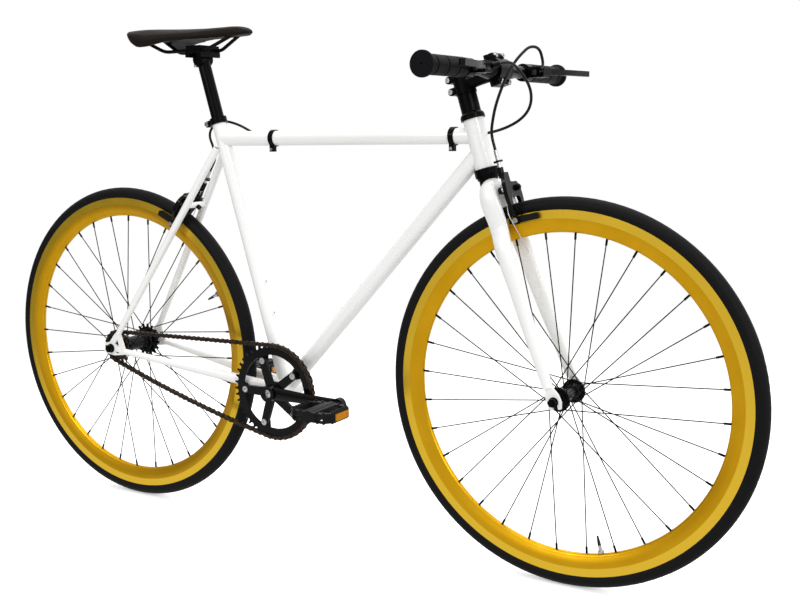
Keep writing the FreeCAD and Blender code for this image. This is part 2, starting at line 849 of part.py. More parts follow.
def tapered_tube(centres, depths, widths, wall, forward, closed_end):
    # A hollow loft, open at its first ring; its bore stops short of the last ring.
    normals = []
    for index in range(len(centres)):
        before = centres[max(index - 1, 0)]
        after = centres[min(index + 1, len(centres) - 1)]
        normals.append((after - before).normalize())
    outer_rings = [oval(*step) for step in zip(centres, normals, [forward] * len(centres), depths, widths)]
    inner_centres = centres[:-1] + [centres[-1] - normals[-1] * closed_end]
    inner_rings = [oval(centre, normal, forward, depth - wall, width - wall)
                   for centre, normal, depth, width in zip(inner_centres, normals, depths, widths)]
    faces = Part.makeLoft(outer_rings, False, False).Faces + Part.makeLoft(inner_rings, False, False).Faces
    mouth = Part.makeRuledSurface(outer_rings[0].Edges[0], inner_rings[0].Edges[0])
    faces += [mouth, Part.Face(outer_rings[-1]), Part.Face(inner_rings[-1])]
    shell = Part.Shell(faces)
    shell.sewShape()
    hollow = Part.Solid(shell)
    if hollow.Volume < 0:
        hollow.reverse()
    return Part.makeLoft(outer_rings, True, False), hollow


dropout_middle = float(size("rear_hub_spacing") + size("dropout_thickness")) / 2
to_bracket = (bracket_point - rear_axle_point).normalize()
stay_top = bracket_point + seat_up * float(size("seat_tube_length") - size("seatstay_drop"))
stay_top = stay_top + seat_back * (float(size("seat_tube_diameter")) * 0.35)
to_stay_top = (stay_top - rear_axle_point).normalize()
dropout_reach = float(size("dropout_reach"))
stay_end_half = float(size("stay_end_diameter")) / 2
stay_wall = float(size("stay_wall"))


def chainstay_shapes(side):
    end = rear_axle_point + to_bracket * dropout_reach
    run = end - bracket_point
    tyre_side = float(size("tyre_width") / 2 + size("chainstay_width") / 2) + float(size("tyre_clearance"))
    shell_side = tyre_side * 0.8
    half_height = float(size("chainstay_height")) / 2
    half_width = float(size("chainstay_width")) / 2
    spread = dropout_middle - tyre_side
    shares = (0.0, 0.22, 0.5, 0.8, 1.0)
    sides = (shell_side, tyre_side, tyre_side + spread * 0.36, tyre_side + spread * 0.75, dropout_middle)
    depths = (half_height, half_height, half_height * 0.86, stay_end_half * 1.1, stay_end_half)
    widths = (half_width, half_width, half_width * 0.95, stay_end_half, stay_end_half * 0.9)
    centres = [bracket_point + run * share + left * (side * offset) for share, offset in zip(shares, sides)]
    return tapered_tube(centres, depths, widths, stay_wall, up, 8.0)


def seatstay_shapes(side):
    end = rear_axle_point + to_stay_top * dropout_reach
    run = end - stay_top
    half = float(size("seatstay_diameter")) / 2
    top_side = float(size("seat_tube_diameter")) / 2 - 1.0
    shares = (0.0, 0.4, 0.8, 1.0)
    centres = [stay_top + run * share + left * (side * (top_side + (dropout_middle - top_side) * share))
               for share in shares]
    sections = (half, half, half * 0.93, stay_end_half * 0.9)
    return tapered_tube(centres, sections, sections, stay_wall, up, 8.0)


chainstay_pairs = [chainstay_shapes(side) for side in (1, -1)]
seatstay_pairs = [seatstay_shapes(side) for side in (1, -1)]
chainstay_solids = shaped("chainstay_solids", Part.Compound([pair[0] for pair in chainstay_pairs]))
seatstay_solids = shaped("seatstay_solids", Part.Compound([pair[0] for pair in seatstay_pairs]))
chainstay_tubes = [cut("chainstay_" + side, shaped("chainstay_blank_" + side, pair[1]), shell_outer)
                   for side, pair in zip(("left", "right"), chainstay_pairs)]
seatstay_tubes = [cut("seatstay_" + side, shaped("seatstay_blank_" + side, pair[1]), seat_outer)
                  for side, pair in zip(("left", "right"), seatstay_pairs)]

pad_radius = bead_radius + size("rim_flange_height") - size("brake_track_height") / 2
brake_bridge_point = rear_axle_point + to_stay_top * float(pad_radius + size("brake_reach"))
rear_out = Vector(-to_stay_top.z, 0, to_stay_top.x)
brake_bore = size("brake_bolt_diameter") / 2 + running


def make_bridge(name, point, solids, diameter):
    width = dropout_middle * 2
    bar = cylinder(name + "_bar", diameter / 2, width, point - left * (width / 2), left)
    return cut(name, bar, solids)


chain_bridge_point = bracket_point - to_bracket * float(size("chain_bridge_setback"))
chain_bridge = make_bridge("chainstay_bridge_raw", chain_bridge_point, chainstay_solids, size("bridge_diameter"))
brake_bridge = make_bridge("brake_bridge_raw", brake_bridge_point, seatstay_solids, size("bridge_diameter"))
bridge_bore = cylinder("brake_bridge_bore", brake_bore, 60, brake_bridge_point - rear_out * 30, rear_out)
brake_bridge_drilled = cut("brake_bridge_drilled", brake_bridge, bridge_bore)


def middle_piece(name, item):
    # Keeps the stretch of a bridge that lies between the stays.
    doc.recompute()
    pieces = sorted(item.Shape.Solids, key=lambda solid: abs(solid.CenterOfMass.y))
    return shaped(name, pieces[0])


node("chainstays", gather("chainstays", chainstay_tubes + [middle_piece("chainstay_bridge", chain_bridge)]))
node("seatstays", gather("seatstays", seatstay_tubes + [middle_piece("brake_bridge", brake_bridge_drilled)]))


def make_dropouts():
    # Track ends: the axle slot opens to the rear, with two windows between the stays.
    slot = float(size("rear_axle_diameter")) / 2 + float(gap)
    lip = 20.0
    chain_x = to_bracket.x * dropout_reach
    chain_z = to_bracket.z * dropout_reach
    seat_x = to_stay_top.x * dropout_reach
    seat_z = to_stay_top.z * dropout_reach
    outline = [
        (-lip, 9.5),
        (-lip, slot),
        (0, slot),
        (0, -slot, slot * 1.001, -1),
        (-lip, -slot),
        (-lip, -9.5),
        (-8, -13),
        (8, -15),
        (chain_x, chain_z - stay_end_half),
        (chain_x, chain_z + stay_end_half),
        (seat_x + stay_end_half, seat_z),
        (seat_x - stay_end_half, seat_z + 2),
        (-4, 13),
    ]
    upper_window = [(9, 9), (chain_x - 14, chain_z + 9), (seat_x - 1, seat_z - 11)]
    lower_window = [(11, -10.5), (chain_x - 11, chain_z - 4), (12, -5.5)]
    plates = []
    for name, side in (("left", 1), ("right", -1)):
        place = Placement(rear_axle_point + left * (side * dropout_middle), Rotation())
        plate = pad("dropout_plate_" + name, [outline, upper_window, lower_window], size("dropout_thickness"), place)
        trimmed = cut("dropout_trim_" + name, plate, chainstay_solids)
        plates.append(cut("dropout_" + name, trimmed, seatstay_solids))
    node("rear_dropouts", gather("rear_dropouts", plates))


make_dropouts()


# Axles, nuts and sprockets

def make_axle(label, centre, diameter, spacing, shell_half, nut_start, flange):
    radius = size(diameter) / 2
    half = spacing / 2
    reach = nut_start + size("axle_nut_height") + 3
    rod_item = cylinder(label + "_rod", radius, reach * 2, centre - left * float(reach), left)
    pieces = [rod_item]
    for name, side in (("left", 1), ("right", -1)):
        direction = left * side
        lock_start = shell_half + gap
        lock = tube("%s_locknut_%s" % (label, name), radius * 1.65, radius + running, half - lock_start,
                    centre + direction * float(lock_start), direction)
        washer = tube("%s_washer_%s" % (label, name), flange, radius + running, 2,
                      centre + direction * float(nut_start), direction)
        nut = doc.addObject("Part::Prism", "%s_nut_%s" % (label, name))
        nut.Polygon = 6
        bind(nut, "Circumradius", radius * 1.75)
        bind(nut, "Height", size("axle_nut_height") - 2)
        nut.Placement = facing(centre + direction * float(nut_start + 2), direction)
        nut_bore = cylinder("%s_nut_bore_%s" % (label, name), radius + running, size("axle_nut_height"),
                            centre + direction * float(nut_start + 2), direction)
        pieces += [lock, washer, cut("%s_hex_%s" % (label, name), nut, nut_bore)]
    node(label, gather(label, pieces))


make_axle("rear_axle", rear_axle_point, "rear_axle_diameter", size("rear_hub_spacing"), rear_shell_half,
          size("rear_hub_spacing") / 2 + size("dropout_thickness"), size("rear_axle_diameter") * 0.95)
make_axle("front_axle", front_axle_point, "front_axle_diameter", size("front_hub_spacing"), front_shell_half,
          size("front_hub_spacing") / 2 + size("dropout_thickness"), size("front_axle_diameter") * 0.95)


def pitch_radius(teeth):
    half_step = Size("sin(180 / %s)" % size(teeth).text, math.sin(math.pi / float(size(teeth))))
    return size("chain_pitch") / 2 / half_step


ring_pitch = pitch_radius("chainring_teeth")
cog_pitch = pitch_radius("sprocket_teeth")
ring_step = 2 * math.pi / float(size("chainring_teeth"))
cog_step = 2 * math.pi / float(size("sprocket_teeth"))


def flat_angle(vector):
    return math.atan2(vector.z, vector.x)


def chain_pins():
    # Pin centres round both sprockets: a straight upper run and a slightly slack lower run.
    pitch = float(size("chain_pitch"))
    ring = float(ring_pitch)
    cog = float(cog_pitch)
    run = rear_axle_point - bracket_point
    backward = Vector(run).normalize()
    over = Vector(backward.z, 0, -backward.x)
    share = (ring - cog) / run.Length
    rise = math.sqrt(1 - share * share)
    top = backward * share + over * rise
    bottom = backward * share - over * rise
    first = bracket_point + top * ring
    tangent = (rear_axle_point + top * cog) - first
    steps = int(tangent.Length / pitch)
    along = Vector(tangent).normalize()
    upper = [first + along * (pitch * index) for index in range(steps + 1)]
    offset = upper[-1] - rear_axle_point
    turn = math.acos((offset.Length ** 2 + cog ** 2 - pitch ** 2) / (2 * offset.Length * cog))
    seat_angle = flat_angle(offset) + turn
    last_angle = flat_angle(bottom) % (2 * math.pi)
    cog_angles = []
    while seat_angle <= last_angle:
        cog_angles.append(seat_angle)
        seat_angle += cog_step
    wrapped = [rear_axle_point + Vector(math.cos(a), 0, math.sin(a)) * cog for a in cog_angles]
    ring_angle = flat_angle(top)
    ring_last = flat_angle(bottom)
    ring_angles = []
    ring_angle -= ring_step
    while ring_angle >= ring_last:
        ring_angles.append(ring_angle)
        ring_angle -= ring_step
    seated = [bracket_point + Vector(math.cos(a), 0, math.sin(a)) * ring for a in ring_angles]
    span = seated[-1] - wrapped[-1]
    count = math.ceil(span.Length / pitch)
    if (len(upper) + len(wrapped) + len(seated) + count - 1) % 2:
        count += 1
    low, high = 1e-6, math.pi / count
    for _ in range(60):
        bend = (low + high) / 2
        if pitch * math.sin(count * bend) / math.sin(bend) > span.Length:
            low = bend
        else:
            high = bend
    ahead = Vector(span).normalize()
    down = Vector(ahead.z, 0, -ahead.x)
    slack = []
    point = wrapped[-1]
    for index in range(count - 1):
        lean = (count - 1 - 2 * index) * bend
        point = point + ahead * (pitch * math.cos(lean)) + down * (pitch * math.sin(lean))
        slack.append(point)
    print("chain of %d links, slack %.2f mm" % (len(upper) + len(wrapped) + len(slack) + len(seated),
                                                count * pitch - span.Length))
    return upper + wrapped + slack + seated[::-1], flat_angle(top), cog_angles[0]


def link_plate(inside, thickness):
    # A waisted plate between two pins, standing at the given distance from the chain line.
    pitch = float(size("chain_pitch"))
    radius = float(size("roller_diameter")) * 0.55
    spread = math.radians(62)
    x, z = radius * math.cos(spread), radius * math.sin(spread)
    waist = radius * 0.72
    rear = Part.Arc(Vector(x, 0, z), Vector(-radius, 0, 0), Vector(x, 0, -z)).toShape()
    lower = Part.Arc(Vector(x, 0, -z), Vector(pitch / 2, 0, -waist), Vector(pitch - x, 0, -z)).toShape()
    front = Part.Arc(Vector(pitch - x, 0, -z), Vector(pitch + radius, 0, 0), Vector(pitch - x, 0, z)).toShape()
    upper = Part.Arc(Vector(pitch - x, 0, z), Vector(pitch / 2, 0, waist), Vector(x, 0, z)).toShape()
    face = Part.Face(Part.Wire([rear, lower, front, upper]))
    plate = face.extrude(Vector(0, thickness, 0))
    plate.translate(Vector(0, inside, 0))
    return plate


def make_links():
    pitch = float(size("chain_pitch"))
    thickness = float(size("link_plate_thickness"))
    inner = float(size("sprocket_thickness")) / 2 + float(gap)
    outer = inner + thickness + float(gap) / 2
    pin_radius = float(size("roller_diameter")) * 0.23
    roller_radius = float(size("roller_diameter")) / 2
    pin_half = outer + thickness * 1.4
    starts = (Vector(), Vector(pitch, 0, 0))
    inner_pieces = [link_plate(inner, thickness), link_plate(-inner - thickness, thickness)]
    inner_pieces += [Part.makeCylinder(roller_radius, 2 * inner, start - left * inner, left) for start in starts]
    bores = [Part.makeCylinder(pin_radius + 2 * float(running), 2 * pin_half, start - left * pin_half, left)
             for start in starts]
    inner_link = inner_pieces[0].multiFuse(inner_pieces[1:]).cut(Part.Compound(bores))
    outer_pieces = [link_plate(outer, thickness), link_plate(-outer - thickness, thickness)]
    outer_pieces += [Part.makeCylinder(pin_radius, 2 * pin_half, start - left * pin_half, left) for start in starts]
    outer_link = outer_pieces[0].multiFuse(outer_pieces[1:])
    return inner_link, outer_link


def make_chain(pins):
    links = make_links()
    offset = left * -float(size("chain_line"))
    placed = []
    for index, pin in enumerate(pins):
        step = pins[(index + 1) % len(pins)] - pin
        link = links[index % 2].copy()
        link.Placement = Placement(pin + offset, Rotation(left, -math.degrees(flat_angle(step))))
        placed.append(link)
    node("chain", shaped("chain", Part.Compound(placed)))


pins, ring_phase, cog_phase = chain_pins()
make_chain(pins)


def tooth_gap(radius, tip):
    # The hollow for one roller, opening outwards between two teeth.
    seat = size("roller_diameter") / 2 + gap
    mouth = size("chain_pitch") * 0.44
    return [(radius - 0.5, -seat * 0.992), (radius - 0.5, seat * 0.992, seat, -1), (tip, mouth), (tip, -mouth)]


def turned_pocket(body, loops, count, phase):
    pocket_ring(body, loops, count)
    sketch = body.Tip.Axis[0]
    sketch.AttachmentOffset = Placement(Vector(), Rotation(Vector(0, 0, 1), math.degrees(phase)))


def make_sprocket(name, teeth, pitch, phase, place, bore):
    tip = pitch + size("chain_pitch") * 0.27
    blank = pad(name, [[(0, 0, tip)], [(0, 0, bore)]], size("sprocket_thickness"), place)
    turned_pocket(blank, [tooth_gap(pitch, tip + 2)], size(teeth), phase)
    return blank


thread_radius = size("sprocket_thread") / 2
chain_side = left * -float(size("chain_line"))
cog = make_sprocket("fixed_cog_plate", "sprocket_teeth", cog_pitch, cog_phase,
                    Placement(rear_axle_point + chain_side, Rotation()), thread_radius + running)
ring_half = size("sprocket_thickness") / 2
lock_width = rear_shell_half - size("chain_line") - ring_half - running
lockring = tube("cog_lockring", thread_radius * 1.22, thread_radius + running, lock_width,
                rear_axle_point - left * float(rear_shell_half), left)
node("fixed_cog", gather("fixed_cog", [cog, lockring]))

free_core_radius = thread_radius * 1.35
free_width = size("freewheel_width")
free_start = size("chain_line") - free_width / 2
free_core = tube("freewheel_core", free_core_radius, thread_radius + running, free_width,
                 rear_axle_point + left * float(free_start), left)
free_ring = make_sprocket("freewheel_teeth", "sprocket_teeth", cog_pitch, cog_phase,
                          Placement(rear_axle_point - chain_side, Rotation()), free_core_radius + running)
free_drum = tube("freewheel_drum", free_core_radius * 1.18, free_core_radius + running, free_width,
                 rear_axle_point + left * float(free_start), left)
node("freewheel", fuse("freewheel", [free_ring, free_drum]))
rear_hub_node = nodes["rear_hub"]
rear_hub_node.Links = rear_hub_node.Links + [free_core]


# Bottom bracket, cranks, chainring and pedals

def make_bottom_bracket():
    bore = size("spindle_diameter") / 2 + running
    body = size("shell_bore") / 2 - running
    flange = size("shell_diameter") / 2 - 1.5
    half = size("shell_width") / 2
    face = half + 2.5
    loop = [(bore, -face), (flange, -face), (flange, -half), (body, -half),
            (body, half), (flange, half), (flange, face), (bore, face)]
    node("bottom_bracket_cartridge", revolve("bottom_bracket_cartridge", [loop], Placement(bracket_point, Rotation())))


make_bottom_bracket()
spindle_half = size("spindle_length") / 2
barrel_half = size("shell_width") / 2 + 4
crank_inner = size("shell_width") / 2 + 6
crank_outer = spindle_half + 10
crank_start = (crank_inner + crank_outer) / 2
crank_end = crank_start + size("crank_flare")
eye_outer = crank_end + size("crank_thickness") / 2
pedal_inner = eye_outer + size("pedal_reach")
upright = Placement(bracket_point, Rotation())


def crank_tip(side):
    # The right crank points forward, the left one backward.
    return bracket_point + Vector(-side * float(size("crank_length")), 0, 0)


def make_spindle():
    square = size("spindle_square")
    end_length = spindle_half - barrel_half
    ends = [block("spindle_end_" + name, square, end_length, square, upright, 0, side * (barrel_half + end_length / 2))
            for name, side in (("left", 1), ("right", -1))]
    barrel = cylinder("spindle_barrel", size("spindle_diameter") / 2, barrel_half * 2,
                      bracket_point - left * float(barrel_half), left)
    pieces = [fuse("spindle", [barrel] + ends)]
    for name, side in (("left", 1), ("right", -1)):
        direction = left * side
        start = crank_tip(side) + direction * float(crank_end - size("crank_thickness") / 2)
        length = size("crank_thickness") + size("pedal_reach") + size("pedal_width") - 8
        axle = cylinder("pedal_axle_rod_" + name, size("pedal_axle_diameter") / 2, length, start, direction)
        collar = cylinder("pedal_axle_collar_" + name, size("pedal_axle_diameter") * 0.72, size("pedal_reach") - gap,
                          crank_tip(side) + direction * float(eye_outer), direction)
        pieces.append(fuse("pedal_axle_" + name, [axle, collar]))
    node("crank_spindle", gather("crank_spindle", pieces))


make_spindle()


def crank_arm_shape(side):
    tip = crank_tip(side)
    run = tip - bracket_point
    start = float(crank_start)
    flare = float(size("crank_flare"))
    half_width = float(size("crank_thickness")) / 2
    shares = (0.0, 0.3, 0.7, 1.0)
    centres = [bracket_point + run * share + left * (side * (start + flare * share)) for share in shares]
    depths = (13.5, 11.5, 10.0, 10.5)
    widths = (half_width * 1.2, half_width * 1.1, half_width, half_width)
    normal = Vector(run).normalize()
    return loft([(c, normal, d, w) for c, d, w in zip(centres, depths, widths)], up)


def make_crank(label, side, extras):
    direction = left * side
    inner = bracket_point + direction * float(crank_inner)
    arm = shaped(label + "_arm", crank_arm_shape(side))
    boss = cylinder(label + "_boss", size("spindle_square") * 1.28, crank_outer - crank_inner, inner, direction)
    eye_start = crank_tip(side) + direction * float(crank_end - size("crank_thickness") / 2)
    eye = cylinder(label + "_eye", size("pedal_axle_diameter") * 1.08, size("crank_thickness"), eye_start, direction)
    whole = fuse(label + "_blank", [arm, boss, eye] + extras)
    hole_side = size("spindle_square") + running * 2
    square = block(label + "_square", hole_side, spindle_half * 2, hole_side, upright)
    bolt_bore = cylinder(label + "_bolt_bore", size("spindle_square") * 0.7, crank_outer,
                         bracket_point + direction * float(spindle_half), direction)
    barrel = cylinder(label + "_barrel_bore", size("spindle_diameter") / 2 + running, barrel_half + gap,
                      bracket_point, direction)
    eye_bore = cylinder(label + "_eye_bore", size("pedal_axle_diameter") / 2 + running, crank_outer, eye_start, direction)
    holes = fuse(label + "_holes", [square, bolt_bore, barrel, eye_bore])
    return cut(label, whole, holes)


bolt_radius = size("bolt_circle") / 2
bolt_count = int(float(size("bolt_count")))
bolt_step = 360.0 / bolt_count
spider_thickness = size("spider_thickness")
spider_inner = size("chain_line") + ring_half + running
bolt_hole = size("chainring_bolt_diameter") / 2 + running


def make_spider():
    # Five arms that reach from the boss to the chainring bolts.
    reach = bolt_radius
    tip = size("chainring_bolt_diameter") * 0.8
    root_half = size("chainring_bolt_diameter") * 0.95
    outline = [(0, -root_half), (reach, -tip), (reach, tip, tip * 1.001, 1), (0, root_half)]
    arms = []
    middle = float(spider_inner + spider_thickness / 2)
    for index in range(bolt_count):
        turn = Rotation(left, -(bolt_step / 2 + bolt_step * index))
        place = Placement(bracket_point - left * middle, turn)
        arm = pad("spider_arm_%d" % index, [outline], spider_thickness, place)
        arms.append(arm)
    return arms


def bolt_points(offset):
    return [around(bracket_point, float(bolt_radius), bolt_step / 2 + bolt_step * index, -float(offset))
            for index in range(bolt_count)]


spider_drills = [cylinder("spider_hole_%d" % index, bolt_hole, spider_thickness * 3, point, left * -1.0)
                 for index, point in enumerate(bolt_points(spider_inner - spider_thickness))]
right_crank = make_crank("right_crank_solid", -1, make_spider())
node("right_crank", cut("right_crank", right_crank, fuse("spider_holes", spider_drills)))
node("left_crank", make_crank("left_crank", 1, []))


def make_chainring():
    tip = ring_pitch + size("chain_pitch") * 0.27
    inside = ring_pitch - size("chainring_rim")
    tab_half = size("chainring_bolt_diameter") * 0.9
    body = pad("chainring", [[(0, 0, tip)], [(0, 0, inside)]], size("sprocket_thickness"),
               Placement(bracket_point + chain_side, Rotation()))
    tab = [(inside + 2, tab_half * 1.5), (bolt_radius, tab_half), (bolt_radius, -tab_half, tab_half * 1.001, 1),
           (inside + 2, -tab_half * 1.5)]
    sketch = add_sketch(body, "XZ_Plane", [tab])
    half_step = Rotation(Vector(0, 0, 1), bolt_step / 2)
    sketch.AttachmentOffset = Placement(Vector(), half_step)
    tabs = body.newObject("PartDesign::Pad", "chainring_tab")
    tabs.Profile = sketch
    bind(tabs, "Length", size("sprocket_thickness"))
    tabs.Midplane = True
    ring = body.newObject("PartDesign::PolarPattern", "chainring_tabs")
    ring.Originals = [tabs]
    ring.Axis = (sketch, ["N_Axis"])
    ring.Angle = 360
    bind(ring, "Occurrences", size("bolt_count"))
    body.Tip = ring
    turned_pocket(body, [[(bolt_radius, 0, bolt_hole)]], size("bolt_count"), math.radians(bolt_step / 2))
    turned_pocket(body, [tooth_gap(ring_pitch, tip + 2)], size("chainring_teeth"), ring_phase)
    node("chainring", body)


make_chainring()


def make_crank_bolts():
    pieces = []
    sleeve = size("chainring_bolt_diameter") / 2
    stack = spider_inner + spider_thickness
    start = size("chain_line") - ring_half
    for index, point in enumerate(bolt_points(start - 1.5)):
        outward = left * -1.0
        shank = cylinder("chainring_bolt_shank_%d" % index, sleeve, stack - start + 3, point, outward)
        nut = cylinder("chainring_bolt_nut_%d" % index, sleeve * 1.25, 1.5 - running, point, outward)
        head_start = point + outward * float(stack - start + 1.5 + running)
        head = cylinder("chainring_bolt_head_%d" % index, sleeve * 1.25, 1.5 - running, head_start, outward)
        socket = cylinder("chainring_bolt_socket_%d" % index, sleeve * 0.5, 4, head_start, outward)
        pieces.append(cut("chainring_bolt_%d" % index, fuse("chainring_bolt_blank_%d" % index, [shank, nut, head]), socket))
    for name, side in (("left", 1), ("right", -1)):
        start_point = bracket_point + left * (side * float(spindle_half + running))
        head = cylinder("crank_bolt_head_" + name, size("spindle_square") * 0.66, 6, start_point, left * side)
        socket = cylinder("crank_bolt_socket_" + name, size("spindle_square") * 0.3, 8, start_point + left * (side * 2), left * side)
        pieces.append(cut("crank_bolt_" + name, head, socket))
    node("crank_bolts", gather("crank_bolts", pieces))


make_crank_bolts()


def make_pedal(label, side):
    # A platform with a barrel round its axle and a reflector at the front and the back.
    length = size("pedal_length") / 2
    width = size("pedal_width")
    corner = 14.0
    centre = crank_tip(side) + left * (side * float(pedal_inner + width / 2))
    place = Placement(centre, Rotation())
    half = width / 2
    outline = [(-length, corner - half), (corner - length, -half), (length - corner, -half), (length, corner - half),
               (length, half - corner), (length - corner, half), (corner - length, half), (-length, half - corner)]
    barrel_radius = size("pedal_axle_diameter") * 0.95
    rail = 9.0
    window = [(barrel_radius + 3, rail - half), (length - rail, rail + 4 - half), (length - rail, half - rail - 4),
              (barrel_radius + 3, half - rail)]
    mirrored = [(-x, y) for x, y in window]
    plate = pad(label + "_plate", [outline, window, mirrored], size("pedal_height") * 0.72, place, "XY_Plane")
    barrel = cylinder(label + "_barrel", barrel_radius, width, centre - left * float(half), left)
    bore = cylinder(label + "_bore", size("pedal_axle_diameter") / 2 + running, width - 6,
                    centre - left * (side * float(half)), left * side)
    body = cut(label + "_body", fuse(label + "_blank", [plate, barrel]), bore)
    reflectors = [block("%s_reflector_%d" % (label, end), 3, width * 0.5, size("pedal_height") * 0.5, place,
                        end * (length + 1.5 + running)) for end in (1, -1)]
    node(label, gather(label, [body] + reflectors))


make_pedal("left_pedal", 1)
make_pedal("right_pedal", -1)


# Headset, fork, stem, handlebar and grips

steer_radius = size("steerer_diameter") / 2


def spun(along):
    # A placement for turned pieces whose own axis lies on the steering axis.
    return Placement(steer(along), Rotation(Vector(0, 1, 0), steer_up))


def steer_place(along, ahead=0.0, side=0.0):
    return framed(steer(along, ahead, side), steer_ahead, left, steer_up)


def ring_loop(inner, outer, low, high):
    return [(inner, low), (outer, low), (outer, high), (inner, high)]


def make_headset():
    cup = size("cup_diameter") / 2
    cavity = cup - size("cup_wall")
    ball_outer = cavity - running
    ball_inner = steer_radius + running
    bore = steer_radius + gap * 3
    insert = size("head_tube_bore") / 2 - running
    depth = size("cup_insert")
    crown = -size("lower_stack")
    race_top = crown + size("race_height")
    ball_top = race_top + size("headset_bearing_height")
    ceiling = ball_top + gap
    skirt = race_top + running + 1.5
    lower = [(bore, ceiling), (cavity, ceiling), (cavity, skirt), (cup, skirt), (cup, 0), (insert, 0),
             (insert, depth), (bore, depth)]
    height = size("upper_cup_height")
    floor = height * 0.2
    upper = [(bore, -depth), (insert, -depth), (insert, 0), (cup, 0), (cup, height), (cavity, height),
             (cavity, floor), (bore, floor)]
    cups = [revolve("headset_lower_cup", [lower], spun(head_base)), revolve("headset_upper_cup", [upper], spun(head_top))]
    node("headset_cups", gather("headset_cups", cups))
    race = revolve("crown_race", [ring_loop(ball_inner, cup * 0.88, crown + running, race_top)], spun(head_base))
    lower_ball = revolve("lower_bearing", [ring_loop(ball_inner, ball_outer, race_top + running, ball_top)], spun(head_base))
    upper_ball = revolve("upper_bearing", [ring_loop(ball_inner, ball_outer, floor + running, height)], spun(head_top))
    node("headset_bearings", gather("headset_bearings", [race, lower_ball, upper_ball]))
    cover_base = height + gap
    cover_top = cover_base + size("headset_cover_height")
    rim = cup * 0.96
    spacer = size("spacer_diameter") / 2
    cover_loop = [(ball_inner, cover_base), (rim, cover_base), (rim, cover_base + 2), (spacer, cover_top), (ball_inner, cover_top)]
    pieces = [revolve("headset_cover", [cover_loop], spun(head_top))]
    count = int(float(size("spacer_count")))
    step = size("spacer_stack") / count
    edge = 0.8
    for index in range(count):
        low = cover_top + step * index + running
        high = cover_top + step * (index + 1)
        loop = [(ball_inner, low), (spacer - edge, low), (spacer, low + edge), (spacer, high - edge),
                (spacer - edge, high), (ball_inner, high)]
        pieces.append(revolve("headset_spacer_%d" % index, [loop], spun(head_top)))
    node("headset_spacers", gather("headset_spacers", pieces))
    return head_top + cover_top + size("spacer_stack") + running


stem_base = make_headset()
stem_middle = stem_base + size("stem_height") / 2
stem_top = stem_base + size("stem_height")
arch_height = size("crown_height") - size("crown_thickness") / 2
tip_middle = float(size("front_hub_spacing") + size("dropout_thickness")) / 2
rake_curve = 1.15


def fork_rake_at(along):
    # The blades lean forward from the crown to the tips, almost straight.
    top = float(arch_height)
    share = max(0.0, (top - along) / (top - float(size("tip_height"))))
    start = float(size("crown_offset"))
    reach = float(size("fork_rake") - size("tip_offset"))
    return start + (reach - start) * share ** rake_curve


def blade_shapes(side):
    top = float(arch_height)
    bend = float(size("blade_spacing")) / 2
    depth = float(size("blade_depth")) / 2
    width = float(size("blade_width")) / 2
    crown = float(size("crown_thickness")) / 2
    tip_depth = float(size("blade_tip_depth")) / 2
    tip_width = float(size("blade_tip_width")) / 2
    end = float(size("tip_height"))
    shoulder = top - width * 2.5
    steps = [(0.0, top), (bend * 0.33, top), (bend * 0.78, top - width * 0.82), (bend, shoulder)]
    sections = [(depth, crown), (depth, crown * 0.97), (depth, (crown + width) / 2), (depth, width)]
    for share in (0.2, 0.45, 0.66, 0.84, 1.0):
        steps.append((bend + (tip_middle - bend) * share, shoulder + (end - shoulder) * share))
        sections.append((depth + (tip_depth - depth) * share, width + (tip_width - width) * share))
    centres = [steer(along, fork_rake_at(along), side * offset) for offset, along in steps]
    return tapered_tube(centres, [step[0] for step in sections], [step[1] for step in sections],
                        float(size("blade_wall")), steer_ahead, 10.0)


blade_pairs = [blade_shapes(side) for side in (1, -1)]
blade_solids = shaped("blade_solids", Part.Compound([pair[0] for pair in blade_pairs]))
brake_height = size("brake_height")
crown_bore = cylinder("crown_bore", brake_bore, 80, steer(brake_height, -40), steer_ahead)


def make_fork():
    blades = [cut("fork_blade_" + name, shaped("fork_blade_blank_" + name, pair[1]), crown_bore)
              for name, pair in zip(("left", "right"), blade_pairs)]
    slot = size("front_axle_diameter") / 2 + gap
    outline = [(-slot, -14), (-slot, 0), (slot, 0, slot * 1.001, -1), (slot, -14), (9.5, -14), (13, -3), (11, 10),
               (3, 26), (-10, 26), (-13, 6), (-12, -6), (-9.5, -14)]
    for name, side in (("left", 1), ("right", -1)):
        place = framed(front_axle_point + left * (side * tip_middle), steer_ahead, left, steer_up)
        plate = pad("fork_tip_plate_" + name, [outline], size("dropout_thickness"), place)
        blades.append(cut("fork_tip_" + name, plate, blade_solids))
    node("fork_blades", gather("fork_blades", blades))
    bore = steer_radius - size("steerer_wall")
    seat = steer_radius * 1.18
    length = stem_top - size("crown_height") - 3
    root_depth = size("crown_root")
    loop = [(bore, -root_depth), (seat, -root_depth), (seat, 0), (steer_radius, 0), (steer_radius, length), (bore, length)]
    blank = revolve("steerer_blank", [loop], spun(size("crown_height")))
    node("fork_steerer", cut("fork_steerer", blank, blade_solids))


make_fork()
bar_point = steer(stem_middle, size("stem_length"))
bar_place = steer_place(stem_middle, size("stem_length"))


